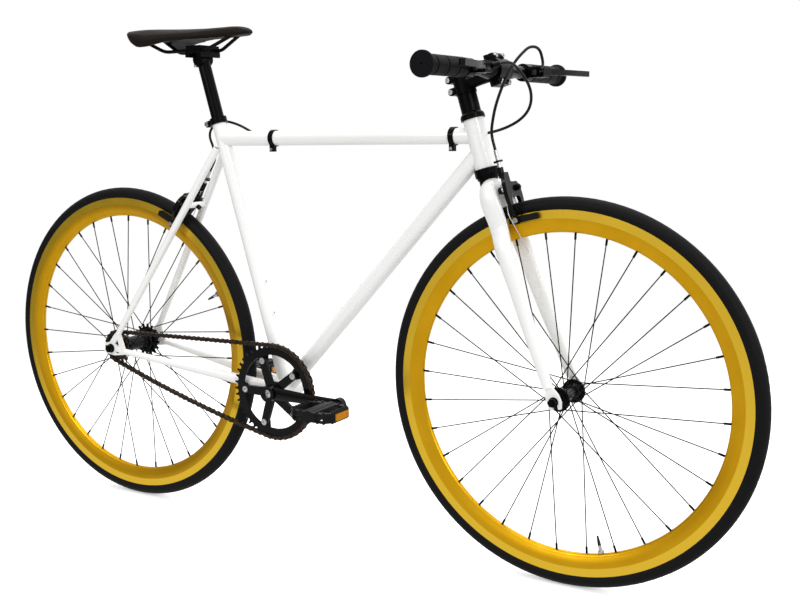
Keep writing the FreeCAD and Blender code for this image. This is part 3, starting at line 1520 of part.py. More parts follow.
def make_stem():
    clamp_radius = steer_radius + size("stem_wall")
    collar = cylinder("stem_collar", clamp_radius, size("stem_height"), steer(stem_base), steer_up)
    reach = float(size("stem_length"))
    half_height = float(size("stem_height")) * 0.42
    neck_sections = ((0.0, 1.0, 0.95), (0.5, 0.86, 0.8), (0.9, 0.95, 1.0))
    neck = shaped("stem_neck", loft([(steer(stem_middle, reach * share), steer_ahead, half_height * depth, half_height * width)
                                     for share, depth, width in neck_sections], steer_up))
    clamp_half = size("stem_clamp_width") / 2
    grip_radius = size("bar_centre_diameter") / 2
    shell = cylinder("stem_clamp_shell", grip_radius + size("stem_wall"), clamp_half * 2,
                     bar_point - left * float(clamp_half), left)
    ear_top = grip_radius + size("stem_wall") + 7
    ears = block("stem_ears", 17, clamp_half * 1.9, ear_top * 2, bar_place)
    bar_bore = cylinder("stem_bar_bore", grip_radius + running, clamp_half * 4, bar_point - left * float(clamp_half * 2), left)
    steer_bore = cylinder("stem_steerer_bore", steer_radius + running, size("stem_height") * 2,
                          steer(stem_base - size("stem_height") / 2), steer_up)
    reach_back = size("stem_length") * 2
    keep_front = block("stem_front_space", reach_back, clamp_half * 4, ear_top * 4, bar_place,
                       size("stem_length") - size("stem_split") / 2)
    keep_back = block("stem_back_space", reach_back, clamp_half * 4, ear_top * 4, bar_place,
                      size("stem_split") / 2 - size("stem_length"))
    bolt_radius_stem = size("stem_bolt_diameter") / 2
    bolt_height = grip_radius + size("stem_wall") + 3
    bolt_side = clamp_half * 0.6
    shanks = []
    bolts = []
    drills = []
    for index, (vertical, side) in enumerate(((1, 1), (1, -1), (-1, 1), (-1, -1))):
        start = steer(stem_middle + bolt_height * vertical, size("stem_length") - 7, bolt_side * side)
        shanks.append(cylinder("stem_bolt_shank_%d" % index, bolt_radius_stem, 17, start, steer_ahead))
        drills.append(cylinder("stem_bolt_hole_%d" % index, bolt_radius_stem + running, 40, start, steer_ahead))
        head = cylinder("stem_bolt_head_%d" % index, bolt_radius_stem * 1.7, 4, start + steer_ahead * float(15.5 + running), steer_ahead)
        socket = cylinder("stem_bolt_socket_%d" % index, bolt_radius_stem * 0.8, 3, start + steer_ahead * 17.5, steer_ahead)
        bolts.append(cut("stem_bolt_%d" % index, fuse("stem_bolt_blank_%d" % index, [shanks[-1], head]), socket))
    pinch_back = -(clamp_radius + 4)
    pinch_width = 22.0
    lugs = []
    for index, share in enumerate((0.24, 0.76)):
        along = stem_base + size("stem_height") * share
        centre = steer(along, pinch_back)
        lugs.append(cylinder("stem_lug_%d" % index, 6.5, pinch_width, centre - left * (pinch_width / 2), left))
        lugs.append(block("stem_lug_web_%d" % index, 12, pinch_width, 13, steer_place(along, pinch_back + 6)))
        start = centre - left * (pinch_width / 2 + 4)
        drills.append(cylinder("stem_lug_hole_%d" % index, bolt_radius_stem + running, pinch_width + 20, start - left * 5, left))
        shank = cylinder("stem_lug_shank_%d" % index, bolt_radius_stem, pinch_width + 2, start, left)
        head = cylinder("stem_lug_head_%d" % index, bolt_radius_stem * 1.7, 4 - running, start, left)
        socket = cylinder("stem_lug_socket_%d" % index, bolt_radius_stem * 0.8, 2, start, left)
        bolts.append(cut("stem_lug_bolt_%d" % index, fuse("stem_lug_blank_%d" % index, [shank, head]), socket))
    slit = block("stem_slit", 30, 2.4, size("stem_height") * 1.5, steer_place(stem_middle, -(clamp_radius + 6)))
    stem_blank = fuse("stem_blank", [collar, neck, shell, ears] + lugs)
    waste = fuse("stem_waste", [bar_bore, steer_bore, slit, keep_front] + drills)
    node("stem", cut("stem", stem_blank, waste))
    plate_blank = fuse("faceplate_blank", [cylinder("faceplate_shell", grip_radius + size("stem_wall"), clamp_half * 2,
                                                    bar_point - left * float(clamp_half), left),
                                           block("faceplate_ears", 17, clamp_half * 1.9, ear_top * 2, bar_place)])
    plate_waste = fuse("faceplate_waste", [bar_bore, keep_back] + drills[:4])
    node("stem_faceplate", cut("stem_faceplate", plate_blank, plate_waste))
    cap = cylinder("top_cap_disc", clamp_radius * 0.92, 3.5, steer(stem_top + running), steer_up)
    cap_bolt = cylinder("top_cap_bolt", bolt_radius_stem * 1.7, 2, steer(stem_top + running + 3.5), steer_up)
    cap_socket = cylinder("top_cap_socket", bolt_radius_stem * 0.8, 3, steer(stem_top + running + 3.5), steer_up)
    bolts.append(cut("top_cap", fuse("top_cap_blank", [cap, cap_bolt]), cap_socket))
    node("stem_bolts", gather("stem_bolts", bolts))


make_stem()
bar_half = size("bar_width") / 2 - size("grip_end") - running
bar_radius = size("bar_diameter") / 2
bulge_half = size("stem_clamp_width") * 0.7
taper_end = bulge_half * 2.1


def make_handlebar():
    bore = bar_radius - size("bar_wall")
    bulge = size("bar_centre_diameter") / 2
    half = [(bore, -bar_half), (bar_radius, -bar_half), (bar_radius, -taper_end), (bulge, -bulge_half)]
    loop = half + [(step[0], -step[1]) for step in reversed(half)]
    node("handlebar", revolve("handlebar", [loop], Placement(bar_point, Rotation())))


def make_grips():
    grips = []
    radius = size("grip_diameter") / 2
    flange = size("grip_flange_diameter") / 2
    length = size("grip_length")
    depth = size("grip_groove")
    bore = bar_radius + running
    vent = 1.5
    count = int(float(size("grip_groove_count")))
    loop = [(bore, 0), (radius - 2, 0), (radius, 2)]
    for index in range(count):
        middle = length * (0.255 + 0.27 * index)
        loop += [(radius, middle - depth), (radius - depth, middle - depth / 2), (radius - depth, middle + depth / 2),
                 (radius, middle + depth)]
    loop += [(radius, length - size("grip_end") * 2), (flange, length - size("grip_end")), (flange, length - 1),
             (flange - 1, length), (vent, length), (vent, length - size("grip_end")), (bore, length - size("grip_end"))]
    for name, side in (("left", 1), ("right", -1)):
        start = bar_point + left * (side * float(size("bar_width") / 2 - length))
        turn = Rotation(Vector(1, 0, 0), 0 if side > 0 else 180)
        grips.append(revolve("grip_" + name, [loop], Placement(start, turn)))
    node("grips", gather("grips", grips))


make_handlebar()
make_grips()


# Brake levers

pivot_ahead = size("lever_reach") * 0.5
lever_slot = size("lever_thickness") + gap * 2


def bracket_centre(side):
    return bar_point + left * (side * float(size("bracket_place")))


def make_lever_bracket(name, side):
    centre = bracket_centre(side)
    place = Placement(centre, Rotation())
    width = size("bracket_width")
    band_radius = bar_radius + 4.5
    band = cylinder("bracket_band_" + name, band_radius, width, centre - left * float(width / 2), left)
    depth = pivot_ahead + 9 - bar_radius
    perch = block("bracket_perch_" + name, depth, width * 1.15, lever_slot + 8, place, bar_radius + depth / 2)
    barrel_start = centre + Vector(float(pivot_ahead) + 2, -side * float(width) / 2, 0)
    barrel_run = Vector(0.5, -side * 0.83, 0.25).normalize()
    boss = cylinder("bracket_boss_" + name, 6.5, 12, barrel_start - barrel_run * 5, barrel_run)
    bar_hole = cylinder("bracket_bore_" + name, bar_radius + running, width * 2, centre - left * float(width), left)
    slot_depth = depth - 5
    slot = block("bracket_slot_" + name, slot_depth * 2, width * 3, lever_slot, place,
                 bar_radius + 8 + slot_depth)
    pin_point = centre + Vector(float(pivot_ahead), 0, -float(lever_slot / 2 + 5))
    pin_height = lever_slot + 10
    pin_hole = cylinder("bracket_pin_hole_" + name, size("lever_pin") / 2, pin_height, pin_point, up)
    wire_hole = cylinder("bracket_wire_hole_" + name, 2.2, 60, barrel_start - barrel_run * 20, barrel_run)
    blank = fuse("bracket_blank_" + name, [band, perch, boss])
    waste = fuse("bracket_waste_" + name, [bar_hole, slot, pin_hole, wire_hole])
    body = cut("bracket_" + name, blank, waste)
    pin = cylinder("lever_pin_" + name, size("lever_pin") / 2 - running, pin_height, pin_point, up)
    adjuster = tube("lever_adjuster_" + name, 4.5, 2.2, 13, barrel_start + barrel_run * float(7 + running), barrel_run)
    exit_point = barrel_start + barrel_run * float(20 + running)
    return [body, pin, adjuster], exit_point, barrel_run


def make_lever(label, side):
    span = size("lever_span")
    reach = size("lever_reach")
    eye = pivot_ahead
    bow = span * 2.4
    outline = [
        (eye - 7, -7),
        (eye + 8, -9),
        (eye + 13, 14),
        (reach - 1, span * 0.62, bow, 1),
        (reach + 5, span - 6),
        (reach, span),
        (reach - 6, span - 6),
        (reach - 11, span * 0.62),
        (eye + 1, 16, bow, -1),
        (eye - 7, 8),
    ]
    steps = [(step[0], step[1] * side) + ((step[2], step[3] * side) if len(step) > 2 else ()) for step in outline]
    place = Placement(bracket_centre(side), Rotation())
    hole = [(eye, 0, size("lever_pin") / 2)]
    node(label, pad(label, [steps, hole], size("lever_thickness"), place, "XY_Plane"))


left_bracket, left_exit, left_run = make_lever_bracket("left", 1)
right_bracket, right_exit, right_run = make_lever_bracket("right", -1)
node("brake_lever_brackets", gather("brake_lever_brackets", left_bracket + right_bracket))
make_lever("left_brake_lever", 1)
make_lever("right_brake_lever", -1)


# Brake calipers

caliper_layer = size("arm_thickness")
back_layer = size("arm_thickness") / 2 + 3
front_layer = back_layer + size("arm_thickness") + 4
wire_layer = (back_layer + front_layer) / 2
wire_side = 27.0
foot = 8.0
horn_top = 32.0
pivot_hole = size("brake_bolt_diameter") / 2 + running
pad_half = size("rim_width") / 2 + size("pad_gap")


def layer_place(frame, depth, across=0.0, above=0.0):
    return frame.multiply(Placement(as_vector(depth, across, above), Rotation()))


def local_axis(frame):
    return frame.Rotation.multVec(Vector(1, 0, 0))


def pin_along(name, frame, radius, start, length, across, above):
    base = frame.multVec(as_vector(start, across, above))
    return cylinder(name, radius, length, base, local_axis(frame))


def make_shoe(prefix, frame, side, wheel):
    # A holder with its rubber pad, turned so that the pad follows the brake track of the rim.
    middle = frame.multVec(as_vector(size("pad_length") / 2 + 2, 0, -size("brake_reach")))
    outward = (middle - wheel).normalize()
    aside = frame.Rotation.multVec(Vector(0, 1, 0))
    seat = framed(wheel + outward * float(pad_radius), aside.cross(outward), aside, outward)
    rubber_width = size("pad_thickness") * 0.6
    holder_width = size("pad_thickness") - rubber_width - running
    rubber = block(prefix + "_pad", size("pad_length"), rubber_width, size("pad_height"), seat,
                   0, side * (pad_half + rubber_width / 2))
    holder_side = pad_half + rubber_width + running + holder_width / 2
    holder = block(prefix + "_shoe", size("pad_length") * 1.04, holder_width, size("pad_height") * 0.9, seat,
                   0, side * holder_side)
    return [rubber, holder]


def make_front_arm(label, prefix, frame, wheel):
    # The arm on the local right: it turns on the centre bolt and carries the cable barrel.
    reach = size("brake_reach")
    inner = pad_half + size("pad_thickness") + running
    eye = 9.5
    outline = [
        (0, eye, eye * 1.001, 1),
        (-18, 12),
        (-wire_side + 8, horn_top - 4),
        (-wire_side - 8, horn_top - 4),
        (-41, 0, 70, 1),
        (-39, -24, 60, 1),
        (-inner - foot, -reach + 8),
        (-inner - foot, -reach - 7),
        (-inner, -reach - 7),
        (-inner, -reach + 10),
        (-29, -22),
        (-26, -9, 40, -1),
        (0, -eye),
    ]
    hole = [(0, 0, pivot_hole)]
    arm = pad(prefix + "_plate", [outline, hole], caliper_layer, layer_place(frame, front_layer), "YZ_Plane")
    boss_base = frame.multVec(as_vector(wire_layer, -wire_side, horn_top - 12))
    upward = frame.Rotation.multVec(Vector(0, 0, 1))
    boss = cylinder(prefix + "_horn", 5.5, 12, boss_base, upward)
    joined = fuse(prefix + "_joined", [arm, boss])
    bore = cylinder(prefix + "_horn_bore", 3.4 + running, 60, boss_base - upward * 20, upward)
    body = cut(prefix + "_body", joined, bore)
    barrel = tube(prefix + "_barrel", 3.4, 2.9, size("barrel_reach") + 14, boss_base - upward * 2, upward)
    nut = tube(prefix + "_barrel_nut", 5.5, 3.4 + running, 6, boss_base + upward * float(12 + running), upward)
    knob = tube(prefix + "_barrel_knob", 8, 3.4 + running, 3, boss_base + upward * 27, upward)
    bolt = pin_bolt(prefix, frame, -1)
    node(label, gather(label, [body, barrel, nut, knob] + make_shoe(prefix, frame, -1, wheel) + bolt))


def pin_bolt(prefix, frame, side):
    # The bolt through the foot of the arm, with its head outside.
    inner = pad_half + size("pad_thickness") + running * 2
    layer = front_layer if side < 0 else back_layer
    base = frame.multVec(as_vector(layer, side * (inner + foot), -size("brake_reach")))
    outward = frame.Rotation.multVec(Vector(0, side, 0))
    head = cylinder(prefix + "_pad_bolt", 4.5, 4, base, outward)
    socket = cylinder(prefix + "_pad_bolt_socket", 2.2, 3, base + outward * 2, outward)
    return [cut(prefix + "_pad_bolt_head", head, socket)]


def make_back_arm(label, prefix, frame, wheel, tail_drop):
    # The arm on the local left: it turns on the second pivot and clamps the wire.
    reach = size("brake_reach")
    inner = pad_half + size("pad_thickness") + running
    across = size("second_pivot")
    tail_end = wire_side + 5
    outline = [
        (-tail_end, -6, 5.51, 1),
        (across - 8, -12),
        (27, -14),
        (29, -22, 40, -1),
        (inner, -reach + 10),
        (inner, -reach - 7),
        (inner + foot, -reach - 7),
        (inner + foot, -reach + 8),
        (39, -24),
        (39, -2, 60, 1),
        (across + 6, 13, 24, 1),
        (across - 6, 13),
        (-tail_end, 5),
    ]
    hole = [(across, 3, pivot_hole)]
    centre_hole = [(0, 0, pivot_hole + 2)]
    arm = pad(prefix + "_plate", [outline, hole, centre_hole], caliper_layer, layer_place(frame, back_layer), "YZ_Plane")
    face = back_layer + size("arm_thickness") / 2
    wire = size("wire_diameter") / 2
    clamp = pin_along(prefix + "_anchor", frame, 4.5, face + running, 3, -wire_side - 6.5, 0)
    level = face + wire + gap
    tail_points = [as_vector(level, -wire_side, 4), as_vector(level, -wire_side - 1, -12),
                   as_vector(level, -wire_side - 12, -42), as_vector(level + tail_drop * 0.2, -wire_side - 18, -tail_drop)]
    tail_points = [frame.multVec(point) for point in tail_points]
    tail = shaped(prefix + "_wire_end", rod(tail_points, 40.0, wire))
    node(label, gather(label, [arm, clamp, tail] + make_shoe(prefix, frame, 1, wheel) + pin_bolt(prefix, frame, 1)))


def make_caliper(place_name, frame, bolt_back, spacer, wheel, tail_drop):
    across = size("second_pivot")
    eye = 8.0
    outline = [(0, -eye, eye * 1.001, 1), (across, 3 - eye), (across, 3 + eye, eye * 1.001, 1), (0, eye)]
    plate_depth = 2.6
    holes = [[(0, 0, pivot_hole)], [(across, 3, pivot_hole)]]
    plate = pad(place_name + "_caliper_plate", [outline] + holes, plate_depth,
                layer_place(frame, plate_depth / 2 + running), "YZ_Plane")
    radius = size("brake_bolt_diameter") / 2
    front_end = front_layer + size("arm_thickness") / 2
    bolt = pin_along(place_name + "_bolt_shank", frame, radius, -bolt_back, bolt_back + front_end + 7, 0, 0)
    front_nut = pin_along(place_name + "_bolt_head", frame, radius * 1.8, front_end + gap, 5, 0, 0)
    back_nut = pin_along(place_name + "_bolt_nut", frame, radius * 1.6, -bolt_back, 6, 0, 0)
    second = pin_along(place_name + "_second_shank", frame, radius, running, back_layer + size("arm_thickness") / 2 + 3, across, 3)
    second_head = pin_along(place_name + "_second_head", frame, radius * 1.6, back_layer + size("arm_thickness") / 2 + gap, 3, across, 3)
    bolts = [fuse(place_name + "_centre_bolt", [bolt, front_nut, back_nut]),
             fuse(place_name + "_second_pivot", [second, second_head])]
    bolts.append(tube(place_name + "_brake_spacer", radius * 2, radius + running, spacer,
                      frame.multVec(as_vector(-spacer, 0, 0)), local_axis(frame)))
    node(place_name + "_brake_bolt", gather(place_name + "_brake_bolt", [plate] + bolts))
    make_front_arm(place_name + "_caliper_right_arm" if place_name == "front" else place_name + "_caliper_left_arm",
                   place_name + "_outer_arm", frame, wheel)
    make_back_arm(place_name + "_caliper_left_arm" if place_name == "front" else place_name + "_caliper_right_arm",
                  place_name + "_inner_arm", frame, wheel, tail_drop)


brake_spacer = size("brake_spacer")
crown_face = fork_rake_at(float(brake_height)) + float(size("blade_depth")) / 2
front_frame = steer_place(brake_height, crown_face + brake_spacer + running)
bridge_half = size("bridge_diameter") / 2
rear_spacer = size("rear_brake_spacer")
rear_frame = framed(brake_bridge_point + rear_out * float(bridge_half + rear_spacer + running),
                    rear_out, left * -1.0, to_stay_top)
nut_room = running * 2 + 6
make_caliper("front", front_frame, size("blade_depth") + brake_spacer + nut_room, brake_spacer,
             front_axle_point, size("wire_tail"))
make_caliper("rear", rear_frame, size("bridge_diameter") + rear_spacer + nut_room, rear_spacer,
             rear_axle_point, size("wire_tail") * 0.5)


# Brake cables

housing = size("housing_diameter") / 2


def widest_bends(points):
    # The largest arc at every corner that still leaves a straight between neighbours.
    radii = []
    for index in range(1, len(points) - 1):
        back = points[index - 1] - points[index]
        ahead = points[index + 1] - points[index]
        half_turn = (math.pi - back.getAngle(ahead)) / 2
        radii.append(0.48 * min(back.Length, ahead.Length) / math.tan(half_turn))
    return radii


def cable(name, points, radius):
    radii = widest_bends(points)
    print(name, "bends", " ".join("%.0f" % bend for bend in radii))
    return shaped(name, rod(points, radii, radius))


def caliper_wire(name, frame):
    barrel_top = frame.multVec(as_vector(wire_layer, -wire_side, horn_top + size("barrel_reach")))
    lower = frame.multVec(as_vector(wire_layer, -wire_side, 7))
    return cylinder(name, size("wire_diameter") / 2, (barrel_top - lower).Length, lower, barrel_top - lower)


def barrel_mouth(frame, rise):
    return frame.multVec(as_vector(wire_layer, -wire_side, horn_top + size("barrel_reach") + rise))


front_mouth = barrel_mouth(front_frame, 0.3)
front_points = [left_exit, left_exit + left_run * 26, Vector(432, 50, 925), Vector(424, 26, 927), Vector(412, -4, 903),
                Vector(401, -27, 866), Vector(388, -34, 824), barrel_mouth(front_frame, 30), front_mouth]
node("front_brake_cable", gather("front_brake_cable", [cable("front_housing", front_points, housing),
                                                       caliper_wire("front_wire", front_frame)]))

top_side = float(size("top_tube_diameter") / 2 + size("clip_thickness") + housing) + 0.2
clip_front = Vector(float(size("front_clip_place")), top_side, top_height)
clip_rear = Vector(float(size("rear_clip_place")), top_side, top_height)
loop_end = clip_front + Vector(float(size("clip_width")) / 2 + 2, 0, 0)
loop_points = [right_exit, right_exit + right_run * 22, Vector(433, -36, 886), Vector(445, -12, 856), Vector(436, 6, 822),
               Vector(400, 22, 797), Vector(345, top_side + 3, top_height + 2), loop_end]
node("rear_brake_loop", cable("rear_brake_loop", loop_points, housing))

rear_mouth = barrel_mouth(rear_frame, 0.3)
housing_points = [loop_end - Vector(float(gap), 0, 0), clip_rear - Vector(float(size("clip_width")) * 4.5, 0, 0),
                  Vector(-205, top_side + 2, top_height + 28), Vector(-247, top_side + 2, top_height + 37),
                  Vector(-281, 14, top_height + 16), barrel_mouth(rear_frame, 34), rear_mouth]
node("rear_brake_housing", gather("rear_brake_housing", [cable("rear_housing", housing_points, housing),
                                                         caliper_wire("rear_wire", rear_frame)]))


def make_clips():
    clips = []
    radius = size("top_tube_diameter") / 2
    width = size("clip_width")
    for name, place in (("front", clip_front), ("rear", clip_rear)):
        centre = Vector(place.x, 0, top_height)
        start = centre - Vector(float(width) / 2, 0, 0)
        ahead = Vector(1, 0, 0)
        band = cylinder("clip_band_" + name, radius + size("clip_thickness"), width, start, ahead)
        guide = cylinder("clip_guide_" + name, housing + 1.8, width, start + left * top_side, ahead)
        seat = Placement(centre, Rotation())
        ear = block("clip_ear_" + name, width, 9, 13, seat, 0, -6, -(radius + 5))
        blank = fuse("clip_blank_" + name, [band, guide, ear])
        tube_bore = cylinder("clip_bore_" + name, radius + running, width * 3, start - ahead * 10, ahead)
        cable_bore = cylinder("clip_cable_bore_" + name, housing + running, width * 3, start - ahead * 10 + left * top_side, ahead)
        slit = block("clip_slit_" + name, width * 2, 1.6, 14, seat, 0, -6, -(radius + 6))
        bolt_base = centre + Vector(0, -13.5, -float(radius) - 7)
        bolt_hole_item = cylinder("clip_bolt_hole_" + name, 1.6, 30, bolt_base, left)
        clips.append(cut("clip_" + name, blank, fuse("clip_waste_" + name, [tube_bore, cable_bore, slit, bolt_hole_item])))
        shank = cylinder("clip_bolt_shank_" + name, 1.55, 12.5, bolt_base, left)
        head = cylinder("clip_bolt_head_" + name, 2.9, 2.9, bolt_base, left)
        clips.append(fuse("clip_bolt_" + name, [shank, head]))
    node("cable_clips", gather("cable_clips", clips))


make_clips()


# Seat clamp, seatpost and saddle

def make_seat_clamp():
    inner = size("seat_tube_diameter") / 2 + running
    outer = inner + size("clamp_wall")
    height = size("clamp_height")
    low = seat_top - seat_up * (float(height) * 0.78)
    middle = framed(low + seat_up * (float(height) / 2), seat_back, left * -1.0, seat_up)
    band = cylinder("clamp_band", outer, height, low, seat_up)
    lug = block("clamp_lug", 14, 19, height * 0.86, middle, outer + 3)
    bore = cylinder("clamp_bore", inner, height * 2, low - seat_up * 5, seat_up)
    slit = block("clamp_slit", 30, 2, height * 2, middle, outer + 10)
    bolt_place = middle.multVec(as_vector(outer + 5.5, 0, 0))
    hole = cylinder("clamp_bolt_hole", 2.55, 40, bolt_place - left * 20, left)
    body = cut("clamp_collar", fuse("clamp_blank", [band, lug]), fuse("clamp_waste", [bore, slit, hole]))
    shank = cylinder("clamp_bolt_shank", 2.5, 22, bolt_place - left * 12, left)
    head = cylinder("clamp_bolt_head", 4.4, 3.9, bolt_place - left * 13.5, left)
    socket = cylinder("clamp_bolt_socket", 2, 3, bolt_place - left * 13.5, left)
    bolt = cut("clamp_bolt", fuse("clamp_bolt_blank", [shank, head]), socket)
    node("seat_clamp", gather("seat_clamp", [body, bolt]))


post_radius = size("seatpost_diameter") / 2
post_top = seat_top + seat_up * float(size("seatpost_exposed"))
saddle_pivot = post_top + seat_up * 6
barrel_radius = post_radius
rail_radius = size("rail_diameter") / 2
rail_level = barrel_radius + rail_radius + 1


def make_seatpost():
    start = seat_top - seat_up * float(size("seatpost_insertion"))
    length = size("seatpost_insertion") + size("seatpost_exposed") + 6
    outer = cylinder("post_outer", post_radius, length, start, seat_up)
    inner = cylinder("post_inner", post_radius - size("seatpost_wall"), length - 28, start, seat_up)
    half = size("rail_spacing") * 0.36
    barrel = cylinder("post_barrel", barrel_radius, half * 2, saddle_pivot - left * float(half), left)
    above = block("post_trim", 60, 60, 30, Placement(saddle_pivot, Rotation()), 0, 0, 15)
    trimmed = cut("post_trimmed", cut("post_tube", outer, inner), above)
    node("seatpost", fuse("seatpost", [trimmed, barrel]))


def make_saddle_clamp():
    place = Placement(saddle_pivot, Rotation())
    width = size("rail_spacing") + size("rail_diameter") * 2
    lower_height = rail_level - 4
    lower = block("saddle_cradle_block", 40, width, lower_height, place, 0, 0, 4 + lower_height / 2)
    upper = block("saddle_plate_block", 36, width, 9, place, 0, 0, rail_level + gap + 4.5)
    half = size("rail_spacing") / 2
    grooves = [cylinder("saddle_groove_%d" % index, rail_radius + running, 90,
                        saddle_pivot + Vector(-45, side * float(half), float(rail_level)), Vector(1, 0, 0))
               for index, side in enumerate((1, -1))]
    barrel_space = cylinder("saddle_barrel_space", barrel_radius + running, width * 2,
                            saddle_pivot - left * float(width), left)
    bolt_back = -(barrel_radius + 5)
    bolt_base = saddle_pivot + Vector(float(bolt_back), 0, -14)
    bolt_space = cylinder("saddle_bolt_space", 3.1, 60, bolt_base, up)
    cradle = cut("saddle_cradle", lower, fuse("saddle_cradle_waste", [barrel_space, bolt_space] + grooves))
    plate = cut("saddle_plate", upper, fuse("saddle_plate_waste", [bolt_space] + grooves))
    shank = cylinder("saddle_bolt_shank", 3.05, rail_level + gap + 24, bolt_base, up)
    head_height = 18 - gap
    head = cylinder("saddle_bolt_head", 5, head_height, bolt_base, up)
    bolt = fuse("saddle_bolt", [shank, head])
    node("saddle_clamp", gather("saddle_clamp", [cradle, plate, bolt]))


def make_rails():
    level = saddle_pivot.z + float(rail_level)
    half = float(size("rail_spacing")) / 2
    rails = []
    for name, side in (("left", 1), ("right", -1)):
        points = [Vector(-404, side * (half + 12), level + 27), Vector(-352, side * half, level),
                  Vector(-243, side * half, level), Vector(-186, side * 10, level + 26)]
        rails.append(shaped("saddle_rail_" + name, rod(points, 45.0, rail_radius)))
    node("saddle_rails", gather("saddle_rails", rails))


def saddle_ring(x, half, crest, skirt):
    # One cross section: a level underside, upright sides and a crowned top.
    shoulder = skirt + (crest - skirt) * 0.42
    left_low = Vector(x, half * 0.94, skirt)
    left_high = Vector(x, half, shoulder)
    right_high = Vector(x, -half, shoulder)
    right_low = Vector(x, -half * 0.94, skirt)
    crown = Part.Arc(left_high, Vector(x, 0, crest), right_high).toShape()
    edges = [Part.LineSegment(left_low, left_high).toShape(), crown, Part.LineSegment(right_high, right_low).toShape(),
             Part.LineSegment(right_low, left_low).toShape()]
    return Part.Wire(edges)


def make_saddle():
    tail = float(size("saddle_tail"))
    length = float(size("saddle_length"))
    wide = float(size("saddle_width")) / 2
    nose = float(size("saddle_nose_width")) / 2
    ground = saddle_pivot.z + float(rail_level)
    rows = (
        (0.0, wide * 0.55, 44, 30),
        (0.05, wide * 0.83, 48, 25),
        (0.16, wide, 46, 22),
        (0.3, wide * 0.95, 42, 19),
        (0.45, wide * 0.7, 39, 18),
        (0.6, nose * 1.45, 39, 18),
        (0.78, nose * 1.08, 42, 20),
        (0.93, nose, 43, 21),
        (1.0, nose * 0.55, 38, 26),
    )
    rings = [saddle_ring(tail + length * share, half, ground + crest, ground + skirt) for share, half, crest, skirt in rows]
    body = shaped("saddle_body", Part.makeLoft(rings, True, False))
    node("saddle", cut("saddle", body, nodes["saddle_rails"]))


make_seat_clamp()
make_seatpost()
make_saddle_clamp()
make_rails()
make_saddle()


# Checks and files

doc.recompute()
for item in doc.Objects:
    if "Invalid" in item.State or "Error" in item.State:
        raise RuntimeError("%s could not be built: %s" % (item.Label, item.State))
for label, item in nodes.items():
    if item.Shape.isNull() or not item.Shape.isValid():
        raise RuntimeError("%s has no valid shape" % label)
    if not item.Shape.Solids:
        raise RuntimeError("%s holds no solid" % label)
os.makedirs("parts", exist_ok=True)
for label, item in nodes.items():
    item.Shape.exportStep("parts/%s.step" % label)
    print("%-28s %3d solids %12.1f mm3" % (label, len(item.Shape.Solids), item.Shape.Volume))
print("%d nodes" % len(nodes))
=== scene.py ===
import math

import bmesh
import bpy
import numpy as np
from mathutils import Matrix, Vector


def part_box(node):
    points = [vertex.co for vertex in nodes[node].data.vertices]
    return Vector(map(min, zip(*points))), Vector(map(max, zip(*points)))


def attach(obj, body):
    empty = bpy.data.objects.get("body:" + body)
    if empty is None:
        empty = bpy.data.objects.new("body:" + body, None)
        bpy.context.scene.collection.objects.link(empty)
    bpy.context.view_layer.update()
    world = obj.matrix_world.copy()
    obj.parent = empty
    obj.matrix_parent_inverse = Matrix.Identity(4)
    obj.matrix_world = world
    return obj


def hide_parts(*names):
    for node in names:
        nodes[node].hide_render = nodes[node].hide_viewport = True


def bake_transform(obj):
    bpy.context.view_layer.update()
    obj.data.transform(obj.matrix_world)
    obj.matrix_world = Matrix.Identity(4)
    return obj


# White fixed gear bike with gold rims. Metres, X forward, Y to the rider's left, Z up.
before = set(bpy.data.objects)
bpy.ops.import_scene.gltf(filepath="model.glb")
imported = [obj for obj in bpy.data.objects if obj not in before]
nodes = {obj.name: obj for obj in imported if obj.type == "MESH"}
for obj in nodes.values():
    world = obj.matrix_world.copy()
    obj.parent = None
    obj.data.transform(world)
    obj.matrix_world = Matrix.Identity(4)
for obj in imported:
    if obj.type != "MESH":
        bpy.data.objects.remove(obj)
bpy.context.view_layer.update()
print("frame loaded:", len(nodes), "nodes")

axleX = 0.5065  # the front axle, which the rear one mirrors about the middle of the bike
axleZ = 0.339  # also the rolling radius
ringSpan = 314  # millimetres between the rings of a wave texture whose scale is 1


def linear(hexText):
    # sRGB hex to the linear colour the shader works in
    channels = [int(hexText[i:i + 2], 16) / 255 for i in (0, 2, 4)]
    return [c / 12.92 if c <= 0.04045 else ((c + 0.055) / 1.055) ** 2.4 for c in channels] + [1.0]


def addNode(tree, kind, settings=None, links=None):
    # a link comes from a socket, or from the first output of a node
    node = tree.nodes.new(kind)
    for key, value in (settings or {}).items():
        if isinstance(key, str) and hasattr(node, key):
            setattr(node, key, value)
        else:
            node.inputs[key].default_value = value
    for key, source in (links or {}).items():
        socket = source.outputs[0] if isinstance(source, bpy.types.Node) else source
        tree.links.new(socket, node.inputs[key])
    return node


def fromRange(pair):
    return {"From Min": pair[0], "From Max": pair[1]}


def toRange(pair):
    return {"To Min": pair[0], "To Max": pair[1]}


def newMaterial(name):
    material = bpy.data.materials.new(name)
    material.use_nodes = True
    material.node_tree.nodes.clear()
    return material


def closeMaterial(material, settings, links):
    tree = material.node_tree
    shader = addNode(tree, "ShaderNodeBsdfPrincipled", settings, links)
    addNode(tree, "ShaderNodeOutputMaterial", links={"Surface": shader})
    return material


def wheelPlace(tree):
    # places on both wheels, folded onto one and counted from its axle
    coords = addNode(tree, "ShaderNodeTexCoord").outputs["Object"]
    folded = addNode(tree, "ShaderNodeVectorMath", {"operation": "ABSOLUTE"}, {0: coords})
    return addNode(tree, "ShaderNodeMapping", {"Location": (-axleX, 0, -axleZ)}, {"Vector": folded})


